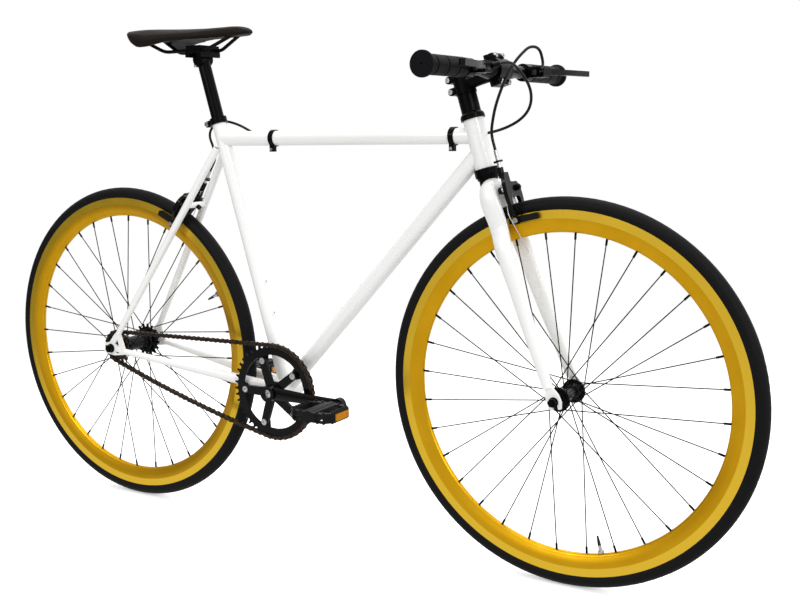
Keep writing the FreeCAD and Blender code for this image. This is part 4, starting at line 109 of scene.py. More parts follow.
def reliefHeight(tree, look, where):
    # the fine relief of a finish: pebbles, tool rings, prisms or plain grain
    kind = look.get("relief", "grain")
    scale = 1000 / look["grain"]
    if kind == "pebble":
        cells = addNode(tree, "ShaderNodeTexVoronoi", {"feature": "DISTANCE_TO_EDGE", "Scale": scale},
                        {"Vector": where})
        return addNode(tree, "ShaderNodeMapRange", {"From Max": 0.25}, {"Value": cells.outputs["Distance"]})
    if kind == "lathe":
        return addNode(tree, "ShaderNodeTexWave",
                       {"wave_type": "RINGS", "rings_direction": "Y", "Scale": ringSpan / look["grain"],
                        "Distortion": 0.4, "Detail": 2.0}, {"Vector": where}).outputs[1]
    if kind == "prism":
        return addNode(tree, "ShaderNodeTexVoronoi",
                       {"feature": "F1", "distance": "CHEBYCHEV", "Scale": scale, "Randomness": 0.0},
                       {"Vector": where}).outputs["Distance"]
    return addNode(tree, "ShaderNodeTexNoise", {"Scale": scale, "Detail": 2.0}, {"Vector": where})


def surface(name, look):
    # a finish with two tones, uneven gloss and a fine relief, all sized in millimetres
    material = newMaterial(name)
    tree = material.node_tree
    onWheel = look.get("relief") == "lathe"
    where = wheelPlace(tree) if onWheel else addNode(tree, "ShaderNodeTexCoord").outputs["Object"]
    patch = addNode(tree, "ShaderNodeTexNoise", {"Scale": 1000 / look["patch"], "Detail": 3.0},
                    {"Vector": where})
    first, second = [linear(tone) for tone in look["tone"]]
    tone = addNode(tree, "ShaderNodeMix", {"data_type": "RGBA", 6: first, 7: second}, {0: patch})
    gloss = addNode(tree, "ShaderNodeMapRange", {**fromRange((0.3, 0.7)), **toRange(look["rough"])},
                    {"Value": patch})
    relief = addNode(tree, "ShaderNodeBump",
                     {"Strength": look.get("strength", 0.3), "Distance": look["depth"] / 1000},
                     {"Height": reliefHeight(tree, look, where)})
    settings = {"Metallic": look.get("metal", 0.0), "Coat Weight": look.get("coat", 0.0),
                "Coat Roughness": 0.06}
    if not look.get("metal"):
        settings["Specular IOR Level"] = look.get("shine", 0.5)
    return closeMaterial(material, settings,
                         {"Base Color": tone.outputs[2], "Roughness": gloss, "Normal": relief})


# Materials, each named for the real stuff. Patch, grain and depth are in millimetres
finishes = {
    # sprayed lacquer: bright, wet highlights with a trace of orange peel
    "whiteLacquer": {"tone": ("f8f8f6", "f3f3f1"), "patch": 160, "rough": (0.2, 0.24), "grain": 4.0,
                     "depth": 0.006, "coat": 0.5, "strength": 0.2},
    # gloss stove enamel on forged aluminium: deep black with sharp highlights
    "blackEnamel": {"tone": ("070708", "0b0b0c"), "patch": 40, "rough": (0.14, 0.2), "grain": 2.5,
                    "depth": 0.01, "coat": 0.16, "shine": 0.06, "strength": 0.2},
    # bead-blasted black anodising: soft broad highlights
    "blackAnodised": {"tone": ("050506", "09090b"), "patch": 35, "rough": (0.22, 0.3), "grain": 0.6,
                      "depth": 0.02, "shine": 0.06, "strength": 0.2},
    # drawn spoke steel under black oxide: dark with a dull sheen
    "blackOxide": {"tone": ("060607", "0b0b0c"), "patch": 12, "rough": (0.32, 0.45), "grain": 0.5,
                   "depth": 0.01, "shine": 0.08},
    # turned aluminium hub, anodised black, with faint tool rings
    "blackTurned": {"tone": ("08080a", "0e0e10"), "patch": 20, "rough": (0.18, 0.26), "grain": 0.7,
                    "depth": 0.03, "relief": "lathe", "shine": 0.18},
    # zinc-plated steel fasteners and wires: bright, slightly cloudy
    "brightZinc": {"tone": ("d2d2cf", "b8b8b6"), "patch": 4, "rough": (0.2, 0.32), "grain": 0.8,
                   "depth": 0.01, "metal": 1.0},
    # oiled brown chain steel: a warm dark metal
    "brownChain": {"tone": ("4a3d33", "241e1a"), "patch": 9, "rough": (0.3, 0.46), "grain": 0.9,
                   "depth": 0.02, "metal": 0.85},
    # soft moulded grip rubber, finely pebbled
    "gripRubber": {"tone": ("0a0a0c", "111114"), "patch": 15, "rough": (0.46, 0.6), "grain": 1.1,
                   "depth": 0.06, "relief": "pebble", "shine": 0.06},
    # brake pad compound, flat dark grey
    "padCompound": {"tone": ("101011", "1b1b1c"), "patch": 5, "rough": (0.75, 0.88), "grain": 0.6,
                    "depth": 0.05, "shine": 0.12},
    # extruded cable cover, smooth and slightly waxy
    "cableCover": {"tone": ("080809", "0d0d0e"), "patch": 10, "rough": (0.24, 0.34), "grain": 1.2,
                   "depth": 0.02, "shine": 0.2},
    # glass-filled nylon of the pedals, fine leathery grain
    "pedalNylon": {"tone": ("0a0a0b", "121213"), "patch": 12, "rough": (0.38, 0.5), "grain": 0.9,
                   "depth": 0.04, "relief": "pebble", "shine": 0.15},
    # amber reflector: a grid of small prisms under clear plastic
    "amberReflector": {"tone": ("b0690c", "d28a1c"), "patch": 6, "rough": (0.1, 0.2), "grain": 3.0,
                       "depth": 0.5, "relief": "prism", "coat": 1.0, "strength": 0.6},
    # coated saddle cover, close leather grain
    "saddleHide": {"tone": ("120d0a", "1c1511"), "patch": 30, "rough": (0.44, 0.58), "grain": 1.4,
                   "depth": 0.1, "relief": "pebble", "shine": 0.1, "strength": 0.45},
    # moulded plastic of the valve caps, plain satin
    "basePlastic": {"tone": ("0b0b0c", "111112"), "patch": 20, "rough": (0.4, 0.5), "grain": 1.0,
                    "depth": 0.03, "shine": 0.3},
}
mats = {name: surface(name, look) for name, look in finishes.items()}


def wheelRings(tree):
    # a place on a wheel, its three parts, and its distance from the axle line
    where = wheelPlace(tree)
    parts = addNode(tree, "ShaderNodeSeparateXYZ", links={0: where}).outputs
    ring = addNode(tree, "ShaderNodeCombineXYZ", links={"X": parts["X"], "Z": parts["Z"]})
    radius = addNode(tree, "ShaderNodeVectorMath", {"operation": "LENGTH"}, {0: ring}).outputs["Value"]
    return where, parts, radius


def makeGold():
    # gold anodised aluminium: warm satin with fine turning lines and grain, the brake track a touch paler, and
    # clouds of painted shade on the wall
    look = {"wall": ("ebb521", "cc9611"), "track": "f3c83c", "trackStart": (0.3025, 0.3033),
            "cloudScale": 14.0, "rough": (0.3, 0.4),
            "lines": 1.3, "grain": 0.5, "depth": 0.03, "strength": 0.15}  # lines, grain and depth in mm
    material = newMaterial("goldAnodised")
    tree = material.node_tree
    where, parts, radius = wheelRings(tree)
    onTrack = addNode(tree, "ShaderNodeMapRange", fromRange(look["trackStart"]), {"Value": radius})
    cloud = addNode(tree, "ShaderNodeTexNoise", {"Scale": look["cloudScale"], "Detail": 3.0},
                    {"Vector": where})
    # the wall's second, darker tone is painted shade, standing in for dark things reflected in the gold; the
    # cloud spreads it at random
    first, second = [linear(tone) for tone in look["wall"]]
    wall = addNode(tree, "ShaderNodeMix", {"data_type": "RGBA", 6: first, 7: second}, {0: cloud})
    tone = addNode(tree, "ShaderNodeMix", {"data_type": "RGBA", 7: linear(look["track"])},
                   {0: onTrack, 6: wall.outputs[2]})
    lines = addNode(tree, "ShaderNodeTexWave",
                    {"wave_type": "RINGS", "rings_direction": "Y", "Scale": ringSpan / look["lines"],
                     "Distortion": 0.6, "Detail": 1.0}, {"Vector": where}).outputs[1]
    grain = addNode(tree, "ShaderNodeTexNoise", {"Scale": 1000 / look["grain"]}, {"Vector": where})
    height = addNode(tree, "ShaderNodeMath", {"operation": "ADD"}, {0: lines, 1: grain})
    relief = addNode(tree, "ShaderNodeBump",
                     {"Strength": look["strength"], "Distance": look["depth"] / 1000}, {"Height": height})
    gloss = addNode(tree, "ShaderNodeMapRange", toRange(look["rough"]), {"Value": cloud})
    return closeMaterial(material, {"Metallic": 1.0},
                         {"Base Color": tone.outputs[2], "Roughness": gloss, "Normal": relief})


def makeTyre():
    # road tyre rubber: dull sides with moulded rings, slanted cuts in the tread beside a plain middle band
    look = {"rubber": ("0b0b0c", "131314"), "rough": (0.5, 0.64), "shine": 0.1,
            "cutPitch": 0.0065, "cutWall": (0.1, 0.2), "cutSlant": 150.0, "cutStrength": 0.8,
            "treadStart": (0.3335, 0.3345), "bandEdge": (0.0025, 0.0035),
            "ringEnd": (0.3215, 0.3225), "ringStrength": 0.5,
            "dust": 25, "rings": 1.6, "cutDepth": 0.8, "ringDepth": 0.2}  # the last four in mm
    material = newMaterial("tyreRubber")
    tree = material.node_tree
    where, parts, radius = wheelRings(tree)
    turn = addNode(tree, "ShaderNodeMath", {"operation": "ARCTAN2"}, {0: parts["Z"], 1: parts["X"]})
    arc = addNode(tree, "ShaderNodeMath", {"operation": "MULTIPLY", 1: axleZ / look["cutPitch"]}, {0: turn})
    lean = addNode(tree, "ShaderNodeMath", {"operation": "MULTIPLY", 1: look["cutSlant"]}, {0: parts["Y"]})
    slanted = addNode(tree, "ShaderNodeMath", {"operation": "ADD"}, {0: arc, 1: lean})
    wave = addNode(tree, "ShaderNodeMath", {"operation": "PINGPONG", 1: 0.5}, {0: slanted})
    cuts = addNode(tree, "ShaderNodeMapRange", {**fromRange(look["cutWall"]), **toRange((1.0, 0.0))},
                   {"Value": wave})
    onTread = addNode(tree, "ShaderNodeMapRange", fromRange(look["treadStart"]), {"Value": radius})
    offBand = addNode(tree, "ShaderNodeMapRange", fromRange(look["bandEdge"]), {"Value": parts["Y"]})
    tread = addNode(tree, "ShaderNodeMath", {"operation": "MULTIPLY"}, {0: onTread, 1: offBand})
    depth = addNode(tree, "ShaderNodeMath", {"operation": "MULTIPLY"}, {0: tread, 1: cuts})
    rings = addNode(tree, "ShaderNodeTexWave",
                    {"wave_type": "RINGS", "rings_direction": "Y", "Scale": ringSpan / look["rings"]},
                    {"Vector": where}).outputs[1]
    onSide = addNode(tree, "ShaderNodeMapRange", {**fromRange(look["ringEnd"]), **toRange((1.0, 0.0))},
                     {"Value": radius})
    side = addNode(tree, "ShaderNodeMath", {"operation": "MULTIPLY"}, {0: onSide, 1: rings})
    dust = addNode(tree, "ShaderNodeTexNoise", {"Scale": 1000 / look["dust"], "Detail": 3.0},
                   {"Vector": where})
    first, second = [linear(tone) for tone in look["rubber"]]
    tone = addNode(tree, "ShaderNodeMix", {"data_type": "RGBA", 6: first, 7: second}, {0: dust})
    moulded = addNode(tree, "ShaderNodeBump",
                      {"Strength": look["ringStrength"], "Distance": look["ringDepth"] / 1000},
                      {"Height": side})
    relief = addNode(tree, "ShaderNodeBump",
                     {"Strength": look["cutStrength"], "Distance": look["cutDepth"] / 1000, "invert": True},
                     {"Height": depth, "Normal": moulded})
    gloss = addNode(tree, "ShaderNodeMapRange", toRange(look["rough"]), {"Value": dust})
    return closeMaterial(material, {"Specular IOR Level": look["shine"]},
                         {"Base Color": tone.outputs[2], "Roughness": gloss, "Normal": relief})


mats["goldAnodised"] = makeGold()
mats["tyreRubber"] = makeTyre()
print("materials:", len(mats))


# Finish of each node of the frame
dress = {
    "whiteLacquer": ["head_tube", "top_tube", "down_tube", "seat_tube", "bottom_bracket_shell", "chainstays",
                     "seatstays", "rear_dropouts", "bottle_bosses", "fork_blades"],
    "goldAnodised": ["front_rim", "rear_rim"],
    "tyreRubber": ["front_tyre", "rear_tyre"],
    "blackOxide": ["front_spokes", "rear_spokes", "saddle_rails", "front_brake_bolt", "rear_brake_bolt",
                   "crank_spindle", "freewheel", "fork_steerer"],
    "blackTurned": ["front_hub", "rear_hub"],
    "brightZinc": ["stem_bolts", "crank_bolts", "bottom_bracket_cartridge", "front_inner_tube",
                   "rear_inner_tube"],
    "brownChain": ["chain", "fixed_cog"],
    "blackEnamel": ["right_crank", "left_crank", "chainring", "right_brake_lever", "left_brake_lever",
                    "front_caliper_right_arm", "front_caliper_left_arm", "rear_caliper_right_arm",
                    "rear_caliper_left_arm"],
    "blackAnodised": ["stem", "stem_faceplate", "handlebar", "brake_lever_brackets", "headset_cups",
                      "headset_spacers", "headset_bearings", "seatpost", "saddle_clamp", "seat_clamp",
                      "cable_clips", "front_axle", "rear_axle"],
    "gripRubber": ["grips"],
    "cableCover": ["rear_brake_housing", "rear_brake_loop", "front_brake_cable"],
    "pedalNylon": ["right_pedal", "left_pedal"],
    "saddleHide": ["saddle"],
}
for name, members in dress.items():
    for member in members:
        nodes[member].data.materials.clear()
        nodes[member].data.materials.append(mats[name])

# Solids inside a node are told apart by their extent
extents = {"padThick": 0.006, "padLong": 0.045, "wireWide": (0.015, 0.025), "wireLong": 0.06,
           "barrelWide": (0.006, 0.008), "barrelLong": 0.045, "armFastener": 0.016,
           "valveCap": (0.019, 0.03), "reflectorThick": 0.012, "reflectorLong": 0.08, "topCap": 0.04,
           "frontWireWide": 0.03, "rearWireLong": 0.1}
# Bolts and screws of these nodes are shorter than this, corner to corner
brightUnder = {"seat_clamp": 0.03, "cable_clips": 0.02, "saddle_clamp": 0.055, "brake_lever_brackets": 0.022}
weldLines = 1e5  # corners within a hundredth of a millimetre are one


def islandsOf(mesh):
    # separate solids inside one node: triangles that share corner places
    places = np.zeros(len(mesh.vertices) * 3)
    mesh.vertices.foreach_get("co", places)
    places = places.reshape(-1, 3)
    keys, same = np.unique(np.round(places * weldLines).astype(np.int64), axis=0, return_inverse=True)
    same = same.reshape(-1)
    parent = list(range(len(keys)))

    def top(i):
        while parent[i] != i:
            parent[i] = parent[parent[i]]
            i = parent[i]
        return i

    corners = [[int(same[v]) for v in polygon.vertices] for polygon in mesh.polygons]
    for corner in corners:
        first = top(corner[0])
        for other in corner[1:]:
            parent[top(other)] = first
    groups = {}
    for index, corner in enumerate(corners):
        groups.setdefault(top(corner[0]), []).append(index)
    found = []
    for members in groups.values():
        spread = places[sorted({v for i in members for v in mesh.polygons[i].vertices})]
        found.append((members, Vector(spread.max(0) - spread.min(0))))
    return found


def finishSolids(nodeName, choose):
    # choose gets a solid's extent in metres and names its finish, or None where the node's own stays
    mesh = nodes[nodeName].data
    slots = {}
    for members, extent in islandsOf(mesh):
        name = choose(extent)
        if name is None:
            continue
        if name not in slots:
            mesh.materials.append(mats[name])
            slots[name] = len(mesh.materials) - 1
        for index in members:
            mesh.polygons[index].material_index = slots[name]


def within(value, pair):
    return pair[0] < value < pair[1]


def caliperSolid(extent):
    # pads are flat and long; wire ends, cable barrels, clamps and bolts are bright; the rest stays black
    if extent.y < extents["padThick"] and extent.x > extents["padLong"]:
        return "padCompound"
    wire = within(extent.y, extents["wireWide"]) and extent.length > extents["wireLong"]
    barrel = within(extent.y, extents["barrelWide"]) and extent.length > extents["barrelLong"]
    return "brightZinc" if wire or barrel or extent.length < extents["armFastener"] else None


def tubeSolid(extent):
    return "basePlastic" if within(extent.length, extents["valveCap"]) else None


def pedalSolid(extent):
    small = extent.x < extents["reflectorThick"] and extent.length < extents["reflectorLong"]
    return "amberReflector" if small else None


def stemSolid(extent):
    return "blackAnodised" if extent.length > extents["topCap"] else None


def frontCableSolid(extent):
    return "brightZinc" if extent.y < extents["frontWireWide"] else None


def rearCableSolid(extent):
    return "brightZinc" if extent.x < extents["rearWireLong"] else None


for end in ("front", "rear"):
    for side in ("right", "left"):
        finishSolids("%s_caliper_%s_arm" % (end, side), caliperSolid)
    finishSolids(end + "_inner_tube", tubeSolid)
for side in ("right", "left"):
    finishSolids(side + "_pedal", pedalSolid)
for name, limit in brightUnder.items():
    finishSolids(name, lambda extent: "brightZinc" if extent.length < limit else None)
finishSolids("stem_bolts", stemSolid)
finishSolids("front_brake_cable", frontCableSolid)
finishSolids("rear_brake_housing", rearCableSolid)
print("finishes laid on the frame")


def meshObject(name, points, faces, material):
    mesh = bpy.data.meshes.new(name)
    mesh.from_pydata([tuple(p) for p in points], [], faces)
    mesh.validate()
    mesh.materials.append(material)
    for polygon in mesh.polygons:
        polygon.use_smooth = True
    obj = bpy.data.objects.new(name, mesh)
    bpy.context.scene.collection.objects.link(obj)
    return obj


def gridFaces(rings, sides):
    # quads between closed rings of points, and a lid on each end
    faces = []
    for ring in range(rings - 1):
        near, far = ring * sides, (ring + 1) * sides
        for side in range(sides):
            other = (side + 1) % sides
            faces.append((near + side, near + other, far + other, far + side))
    last = (rings - 1) * sides
    faces.append(tuple(range(sides - 1, -1, -1)))
    faces.append(tuple(range(last, last + sides)))
    return faces


# Saddle: a crowned foam pad with drooping wings, hollow underneath
saddle = {
    # share of the length from the tail, half width, then the heights of crown, edge, lower rim and roof of the
    # hollow above the low point of the solid, all in mm but the share
    "rows": [(0.0, 42, 27, 25, 23.5, 23.5), (0.02, 51, 29, 22.5, 18, 20), (0.05, 60, 30, 18, 8, 16),
             (0.09, 66, 30.2, 13.5, -1.5, 13), (0.14, 69, 30, 9, -9.5, 10.5), (0.2, 69, 29, 6.5, -11, 9),
             (0.27, 64, 27.5, 6.5, -7.5, 8), (0.36, 54, 25.7, 8.5, -1, 7.5), (0.48, 41, 24.5, 10, 2, 7),
             (0.6, 30, 24.5, 11.5, 3.5, 6.5), (0.74, 23.5, 25.5, 12.5, 4.5, 6), (0.86, 20.5, 26, 13, 5, 5.5),
             (0.93, 18.5, 24.3, 12.5, 6, 6.5), (0.975, 14, 20.5, 11.5, 7.5, 8), (1.0, 7, 15, 10.5, 9, 9)],
    "along": 96, "around": 48, "inset": 0.0012,
    # where crown and flank end on the way round a half, how far the flank tucks in, how full the crown is
    "crownEnd": 0.5, "flankEnd": 0.72, "tuck": 0.09, "tuckCurve": 1.5, "fullAcross": 0.9, "fullUp": 0.85,
}
# Its cover, drawn over the foam by a short cloth run with air pressure
cover = {"voxel": 0.0045, "heldAboveRim": 0.005, "heldFacing": -0.5, "pressure": 4.0, "stiffness": 25,
         "quality": 6, "frames": 20, "cap": 0.003}


def rowAt(share):
    # half width, crown, edge, rim and roof in mm, with smooth cubics between the rows
    rows = saddle["rows"]
    place = next((i for i in range(len(rows) - 1) if share <= rows[i + 1][0]), len(rows) - 2)
    start, end = rows[place], rows[place + 1]
    before = rows[max(place - 1, 0)]
    after = rows[min(place + 2, len(rows) - 1)]
    gap = end[0] - start[0]
    t = (share - start[0]) / gap
    values = []
    for k in range(1, len(start)):
        slopeStart = (end[k] - before[k]) / (end[0] - before[0]) * gap
        slopeEnd = (after[k] - start[k]) / (after[0] - start[0]) * gap
        values.append((2 * t ** 3 - 3 * t * t + 1) * start[k] + (t ** 3 - 2 * t * t + t) * slopeStart
                      + (3 * t * t - 2 * t ** 3) * end[k] + (t ** 3 - t * t) * slopeEnd)
    return values


def saddleSection(share):
    # one half: crown and rolled edge, then the flank, then the hollow underside back to the middle
    half, crown, edge, rim, roof = [v / 1000 for v in rowAt(share)]
    half -= saddle["inset"]
    crown -= saddle["inset"]
    crownEnd, flankEnd, tuck = saddle["crownEnd"], saddle["flankEnd"], saddle["tuck"]
    section = []
    count = saddle["around"] // 2
    for i in range(count + 1):
        t = i / count
        if t < crownEnd:
            a = t / crownEnd * math.pi / 2
            y = half * math.sin(a) ** saddle["fullAcross"]
            z = edge + (crown - edge) * math.cos(a) ** saddle["fullUp"]
        elif t < flankEnd:
            b = (t - crownEnd) / (flankEnd - crownEnd)
            y = half * (1 - tuck * b ** saddle["tuckCurve"])
            z = edge + (rim - edge) * b
        else:
            c = (t - flankEnd) / (1 - flankEnd)
            y = half * (1 - tuck) * (1 - c)
            z = rim + (roof - rim) * math.sin(c * math.pi / 2)
        section.append((y, z))
    return section


def makeSaddle():
    low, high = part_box("saddle")
    along = saddle["along"]
    points = []
    for i in range(along + 1):
        share = 0.5 - 0.5 * math.cos(math.pi * i / along)
        x = low.x + (high.x - low.x) * share
        half = saddleSection(share)
        # the middle of the underside comes twice, so the strips wind round by a point a ring
        points += [(x, y, low.z + z) for y, z in half] + [(x, -y, low.z + z) for y, z in half[:0:-1]]
    pad = meshObject("saddlePad", points, gridFaces(along + 1, saddle["around"]), mats["saddleHide"])
    shell = bmesh.new()
    shell.from_mesh(pad.data)
    bmesh.ops.recalc_face_normals(shell, faces=shell.faces)
    shell.to_mesh(pad.data)
    shell.free()
    return pad


def swell(pad):
    # the underside and the rim are held, and no place moves further than the cap
    bpy.context.view_layer.objects.active = pad
    remesh = pad.modifiers.new("remesh", "REMESH")
    remesh.mode = "VOXEL"
    remesh.voxel_size = cover["voxel"]
    bpy.ops.object.modifier_apply(modifier="remesh")
    start = np.array([v.co for v in pad.data.vertices])
    tail, nose = start[:, 0].min(), start[:, 0].max()
    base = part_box("saddle")[0].z
    hold = pad.vertex_groups.new(name="hold")
    for vertex in pad.data.vertices:
        share = (vertex.co.x - tail) / (nose - tail)
        rim = rowAt(min(max(share, 0), 1))[3] / 1000
        nearRim = vertex.co.z < base + rim + cover["heldAboveRim"]
        if nearRim or vertex.normal.z < cover["heldFacing"]:
            hold.add([vertex.index], 1.0, "REPLACE")
    cloth = pad.modifiers.new("cloth", "CLOTH")
    cloth.settings.use_pressure = True
    cloth.settings.uniform_pressure_force = cover["pressure"]
    cloth.settings.vertex_group_mass = "hold"
    cloth.settings.effector_weights.gravity = 0.0
    cloth.settings.tension_stiffness = cover["stiffness"]
    cloth.settings.quality = cover["quality"]
    for number in range(1, cover["frames"] + 1):
        bpy.context.scene.frame_set(number)
    bpy.ops.object.modifier_apply(modifier="cloth")
    bpy.context.scene.frame_set(1)
    for vertex, place in zip(pad.data.vertices, start):
        move = vertex.co - Vector(place)
        if move.length > cover["cap"]:
            vertex.co = Vector(place) + move.normalized() * cover["cap"]


pad = makeSaddle()
swell(pad)
smooth = pad.modifiers.new("round", "SUBSURF")
smooth.levels = 1
smooth.render_levels = 1
bpy.context.view_layer.objects.active = pad
bpy.ops.object.modifier_apply(modifier="round")
for polygon in pad.data.polygons:
    polygon.use_smooth = True
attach(pad, "saddle")
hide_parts("saddle")
print("saddle pad:", len(pad.data.polygons), "faces")


# Rear brake cable from the lever to the top tube. Route and radius in mm
loop = {
    "route": [(420.203, -85.37, 892.798), (431.195, -67.123, 898.295), (433, -36, 886), (445, -12, 856),
              (436, 6, 822), (400, 22, 797), (345, 22, 780.644), (300, 19, 778.644)],
    "radius": 2.5, "sides": 16, "fineness": 14,
}


def splinePath(points, fineness):
    # a smooth line through the run of a cable, read from a NURBS spline
    curve = bpy.data.curves.new("guide", "CURVE")
    curve.dimensions = "3D"
    curve.resolution_u = fineness
    spline = curve.splines.new("NURBS")
    spline.points.add(len(points) - 1)
    for point, place in zip(spline.points, points):
        point.co = (*place, 1.0)
    spline.order_u = 3
    spline.use_endpoint_u = True
    guide = bpy.data.objects.new("guide", curve)
    line = bpy.data.meshes.new_from_object(guide)
    path = [vertex.co.copy() for vertex in line.vertices]
    bpy.data.objects.remove(guide)
    bpy.data.meshes.remove(line)
    return path


def tubeMesh(name, path, radius, sides, material):
    # a tube swept along a path without twist, ends closed
    turns = [2 * math.pi * side / sides for side in range(sides)]
    points = []
    forward = (path[1] - path[0]).normalized()
    across = forward.orthogonal().normalized()
    for index, place in enumerate(path):
        ahead = (path[min(index + 1, len(path) - 1)] - path[max(index - 1, 0)]).normalized()
        across = forward.rotation_difference(ahead) @ across
        across = (across - ahead * across.dot(ahead)).normalized()
        forward = ahead
        aside = ahead.cross(across)
        points += [place + (across * math.cos(turn) + aside * math.sin(turn)) * radius for turn in turns]
    return meshObject(name, points, gridFaces(len(path), sides), material)


route = [Vector(place) / 1000 for place in loop["route"]]
rings = splinePath(route, loop["fineness"])
rearLoop = tubeMesh("rearLoop", rings, loop["radius"] / 1000, loop["sides"], mats["cableCover"])
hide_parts("rear_brake_loop")
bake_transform(rearLoop)
print("rear cable loop:", len(rings), "rings")


# Pedal studs: moulded pins in rows on both faces of the platforms
studs = {"half": (0.0425, 0.0345), "rise": 0.009, "end": 0.022, "side": (0.018, 0.032), "corners": 10,
         "inputs": {"Pitch": 0.0073, "Pin Radius": 0.0019, "Pin Height": 0.005, "Seed": 4}}


def studTree():
    tree = bpy.data.node_groups.new("studRows", "GeometryNodeTree")
    tree.interface.new_socket("Rails", in_out="INPUT", socket_type="NodeSocketGeometry")
    for name in ("Pitch", "Pin Radius", "Pin Height"):
        tree.interface.new_socket(name, in_out="INPUT", socket_type="NodeSocketFloat")
    tree.interface.new_socket("Seed", in_out="INPUT", socket_type="NodeSocketInt")
    tree.interface.new_socket("Studs", in_out="OUTPUT", socket_type="NodeSocketGeometry")
    given = addNode(tree, "NodeGroupInput").outputs
    lines = addNode(tree, "GeometryNodeMeshToCurve", links={0: given["Rails"]})
    dots = addNode(tree, "GeometryNodeResampleCurve", {"mode": "LENGTH"},
                   {"Curve": lines, "Length": given["Pitch"]})
    pin = addNode(tree, "GeometryNodeMeshCylinder", {"Vertices": studs["corners"]},
                  {"Radius": given["Pin Radius"], "Depth": given["Pin Height"]})
    twist = addNode(tree, "FunctionNodeRandomValue",
                    {"data_type": "FLOAT_VECTOR", 0: (0, 0, 0), 1: (0, 0, 6.28)}, {"Seed": given["Seed"]})
    placed = addNode(tree, "GeometryNodeInstanceOnPoints",
                     links={"Points": dots, "Instance": pin.outputs["Mesh"], "Rotation": twist})
    real = addNode(tree, "GeometryNodeRealizeInstances", links={0: placed})
    dressed = addNode(tree, "GeometryNodeSetMaterial", {"Material": mats["pedalNylon"]}, {"Geometry": real})
    addNode(tree, "NodeGroupOutput", links={0: dressed})
    return tree


def pedalStuds(side, tree):
    low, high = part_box(side + "_pedal")
    middle = (low + high) / 2
    ends, sides = studs["half"]
    near, far = studs["side"]
    rails = []
    for face in (-studs["rise"], studs["rise"]):
        for way in (-1, 1):
            rails.append([(way * ends, -studs["end"], face), (way * ends, studs["end"], face)])
            for part in (-1, 1):
                rails.append([(part * near, way * sides, face), (part * far, way * sides, face)])
    mesh = bpy.data.meshes.new(side + "PedalStuds")
    mesh.from_pydata([middle + Vector(place) for rail in rails for place in rail],
                     [(2 * i, 2 * i + 1) for i in range(len(rails))], [])
    obj = bpy.data.objects.new(side + "PedalStuds", mesh)
    bpy.context.scene.collection.objects.link(obj)
    rows = obj.modifiers.new("rows", "NODES")
    rows.node_group = tree
    for item in tree.interface.items_tree:
        if item.in_out == "INPUT" and item.name in studs["inputs"]:
            rows[item.identifier] = studs["inputs"][item.name]
    grown = bpy.data.meshes.new_from_object(obj.evaluated_get(bpy.context.evaluated_depsgraph_get()))
    obj.modifiers.clear()
    obj.data = grown
    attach(obj, side + "_pedal")
    return len(grown.polygons)


rowsTree = studTree()
print("pedal studs:", pedalStuds("right", rowsTree), pedalStuds("left", rowsTree), "faces")


# Pedal bodies: the moulded platform has two windows through each long side
windows = {"along": 0.0235, "across": 0.032, "opening": (0.018, 0.02, 0.0125), "weld": 0.000001, "crease": 30}


def windowBoxes(name, middle):
    boxes = bmesh.new()
    opening = Matrix.Diagonal((*windows["opening"], 1))
    for end in (-1, 1):
        for edge in (-1, 1):
            place = middle + Vector((end * windows["along"], edge * windows["across"], 0))
            bmesh.ops.create_cube(boxes, matrix=Matrix.Translation(place) @ opening)
    mesh = bpy.data.meshes.new(name)
    boxes.to_mesh(mesh)
    boxes.free()
    return bpy.data.objects.new(name, mesh)


def pedalBody(side):
    # a copy of the solid, merged, with the windows cut out of it
    low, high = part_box(side + "_pedal")
    mesh = nodes[side + "_pedal"].data.copy()
    shape = bmesh.new()
    shape.from_mesh(mesh)
    bmesh.ops.remove_doubles(shape, verts=shape.verts, dist=windows["weld"])
    shape.to_mesh(mesh)
    shape.free()
    body = bpy.data.objects.new(side + "PedalBody", mesh)
    cut = windowBoxes(side + "PedalCut", (low + high) / 2)
    for obj in (body, cut):
        bpy.context.scene.collection.objects.link(obj)
    hollow = body.modifiers.new("hollow", "BOOLEAN")
    hollow.operation = "DIFFERENCE"
    hollow.object = cut
    cast = bpy.data.meshes.new_from_object(body.evaluated_get(bpy.context.evaluated_depsgraph_get()))
    body.modifiers.clear()
    body.data = cast
    bpy.data.objects.remove(cut)
    oldNormals = cast.attributes.get("custom_normal")  # those of the uncut solid
    if oldNormals:
        cast.attributes.remove(oldNormals)
    cast.shade_smooth()
    cast.set_sharp_from_angle(angle=math.radians(windows["crease"]))
    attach(body, side + "_pedal")
    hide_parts(side + "_pedal")
    return len(cast.polygons)


print("pedal bodies:", pedalBody("right"), pedalBody("left"), "faces")


# Studio: white floor that fades into a white room, soft light from above and both sides
studio = {
    "floor": ("ffffff", "f8f8f8"), "speckScale": 30.0, "floorSize": 12, "floorDrop": 0.0005,
    "fade": (1.3, 2.6),
    # what the floor adds to its shading for the camera, and what it sends up to the bike
    "glow": 0.3, "bounce": 0.78,
    # light of the room: an even part, and parts that grow along the axes between two places
    "even": 0.15, "ramps": {"X": ((-0.75, -0.25), 0.38), "Y": ((-0.3, 0.5), 0.5), "Z": ((0.0, 0.8), 0.5)},
    # place, aim, width and height in metres, then power in watts
    "softboxes": {"keySoftbox": ((-0.9, -3.0, 2.0), (0, 0, 0.5), (1.3, 0.9), 30),
                  "fillSoftbox": ((2.7, -1.3, 1.7), (0, 0, 0.5), (0.9, 0.9), 20),
                  "topSoftbox": ((0.2, 0.3, 3.2), (0, 0, 0.4), (2.4, 1.4), 32)},
}


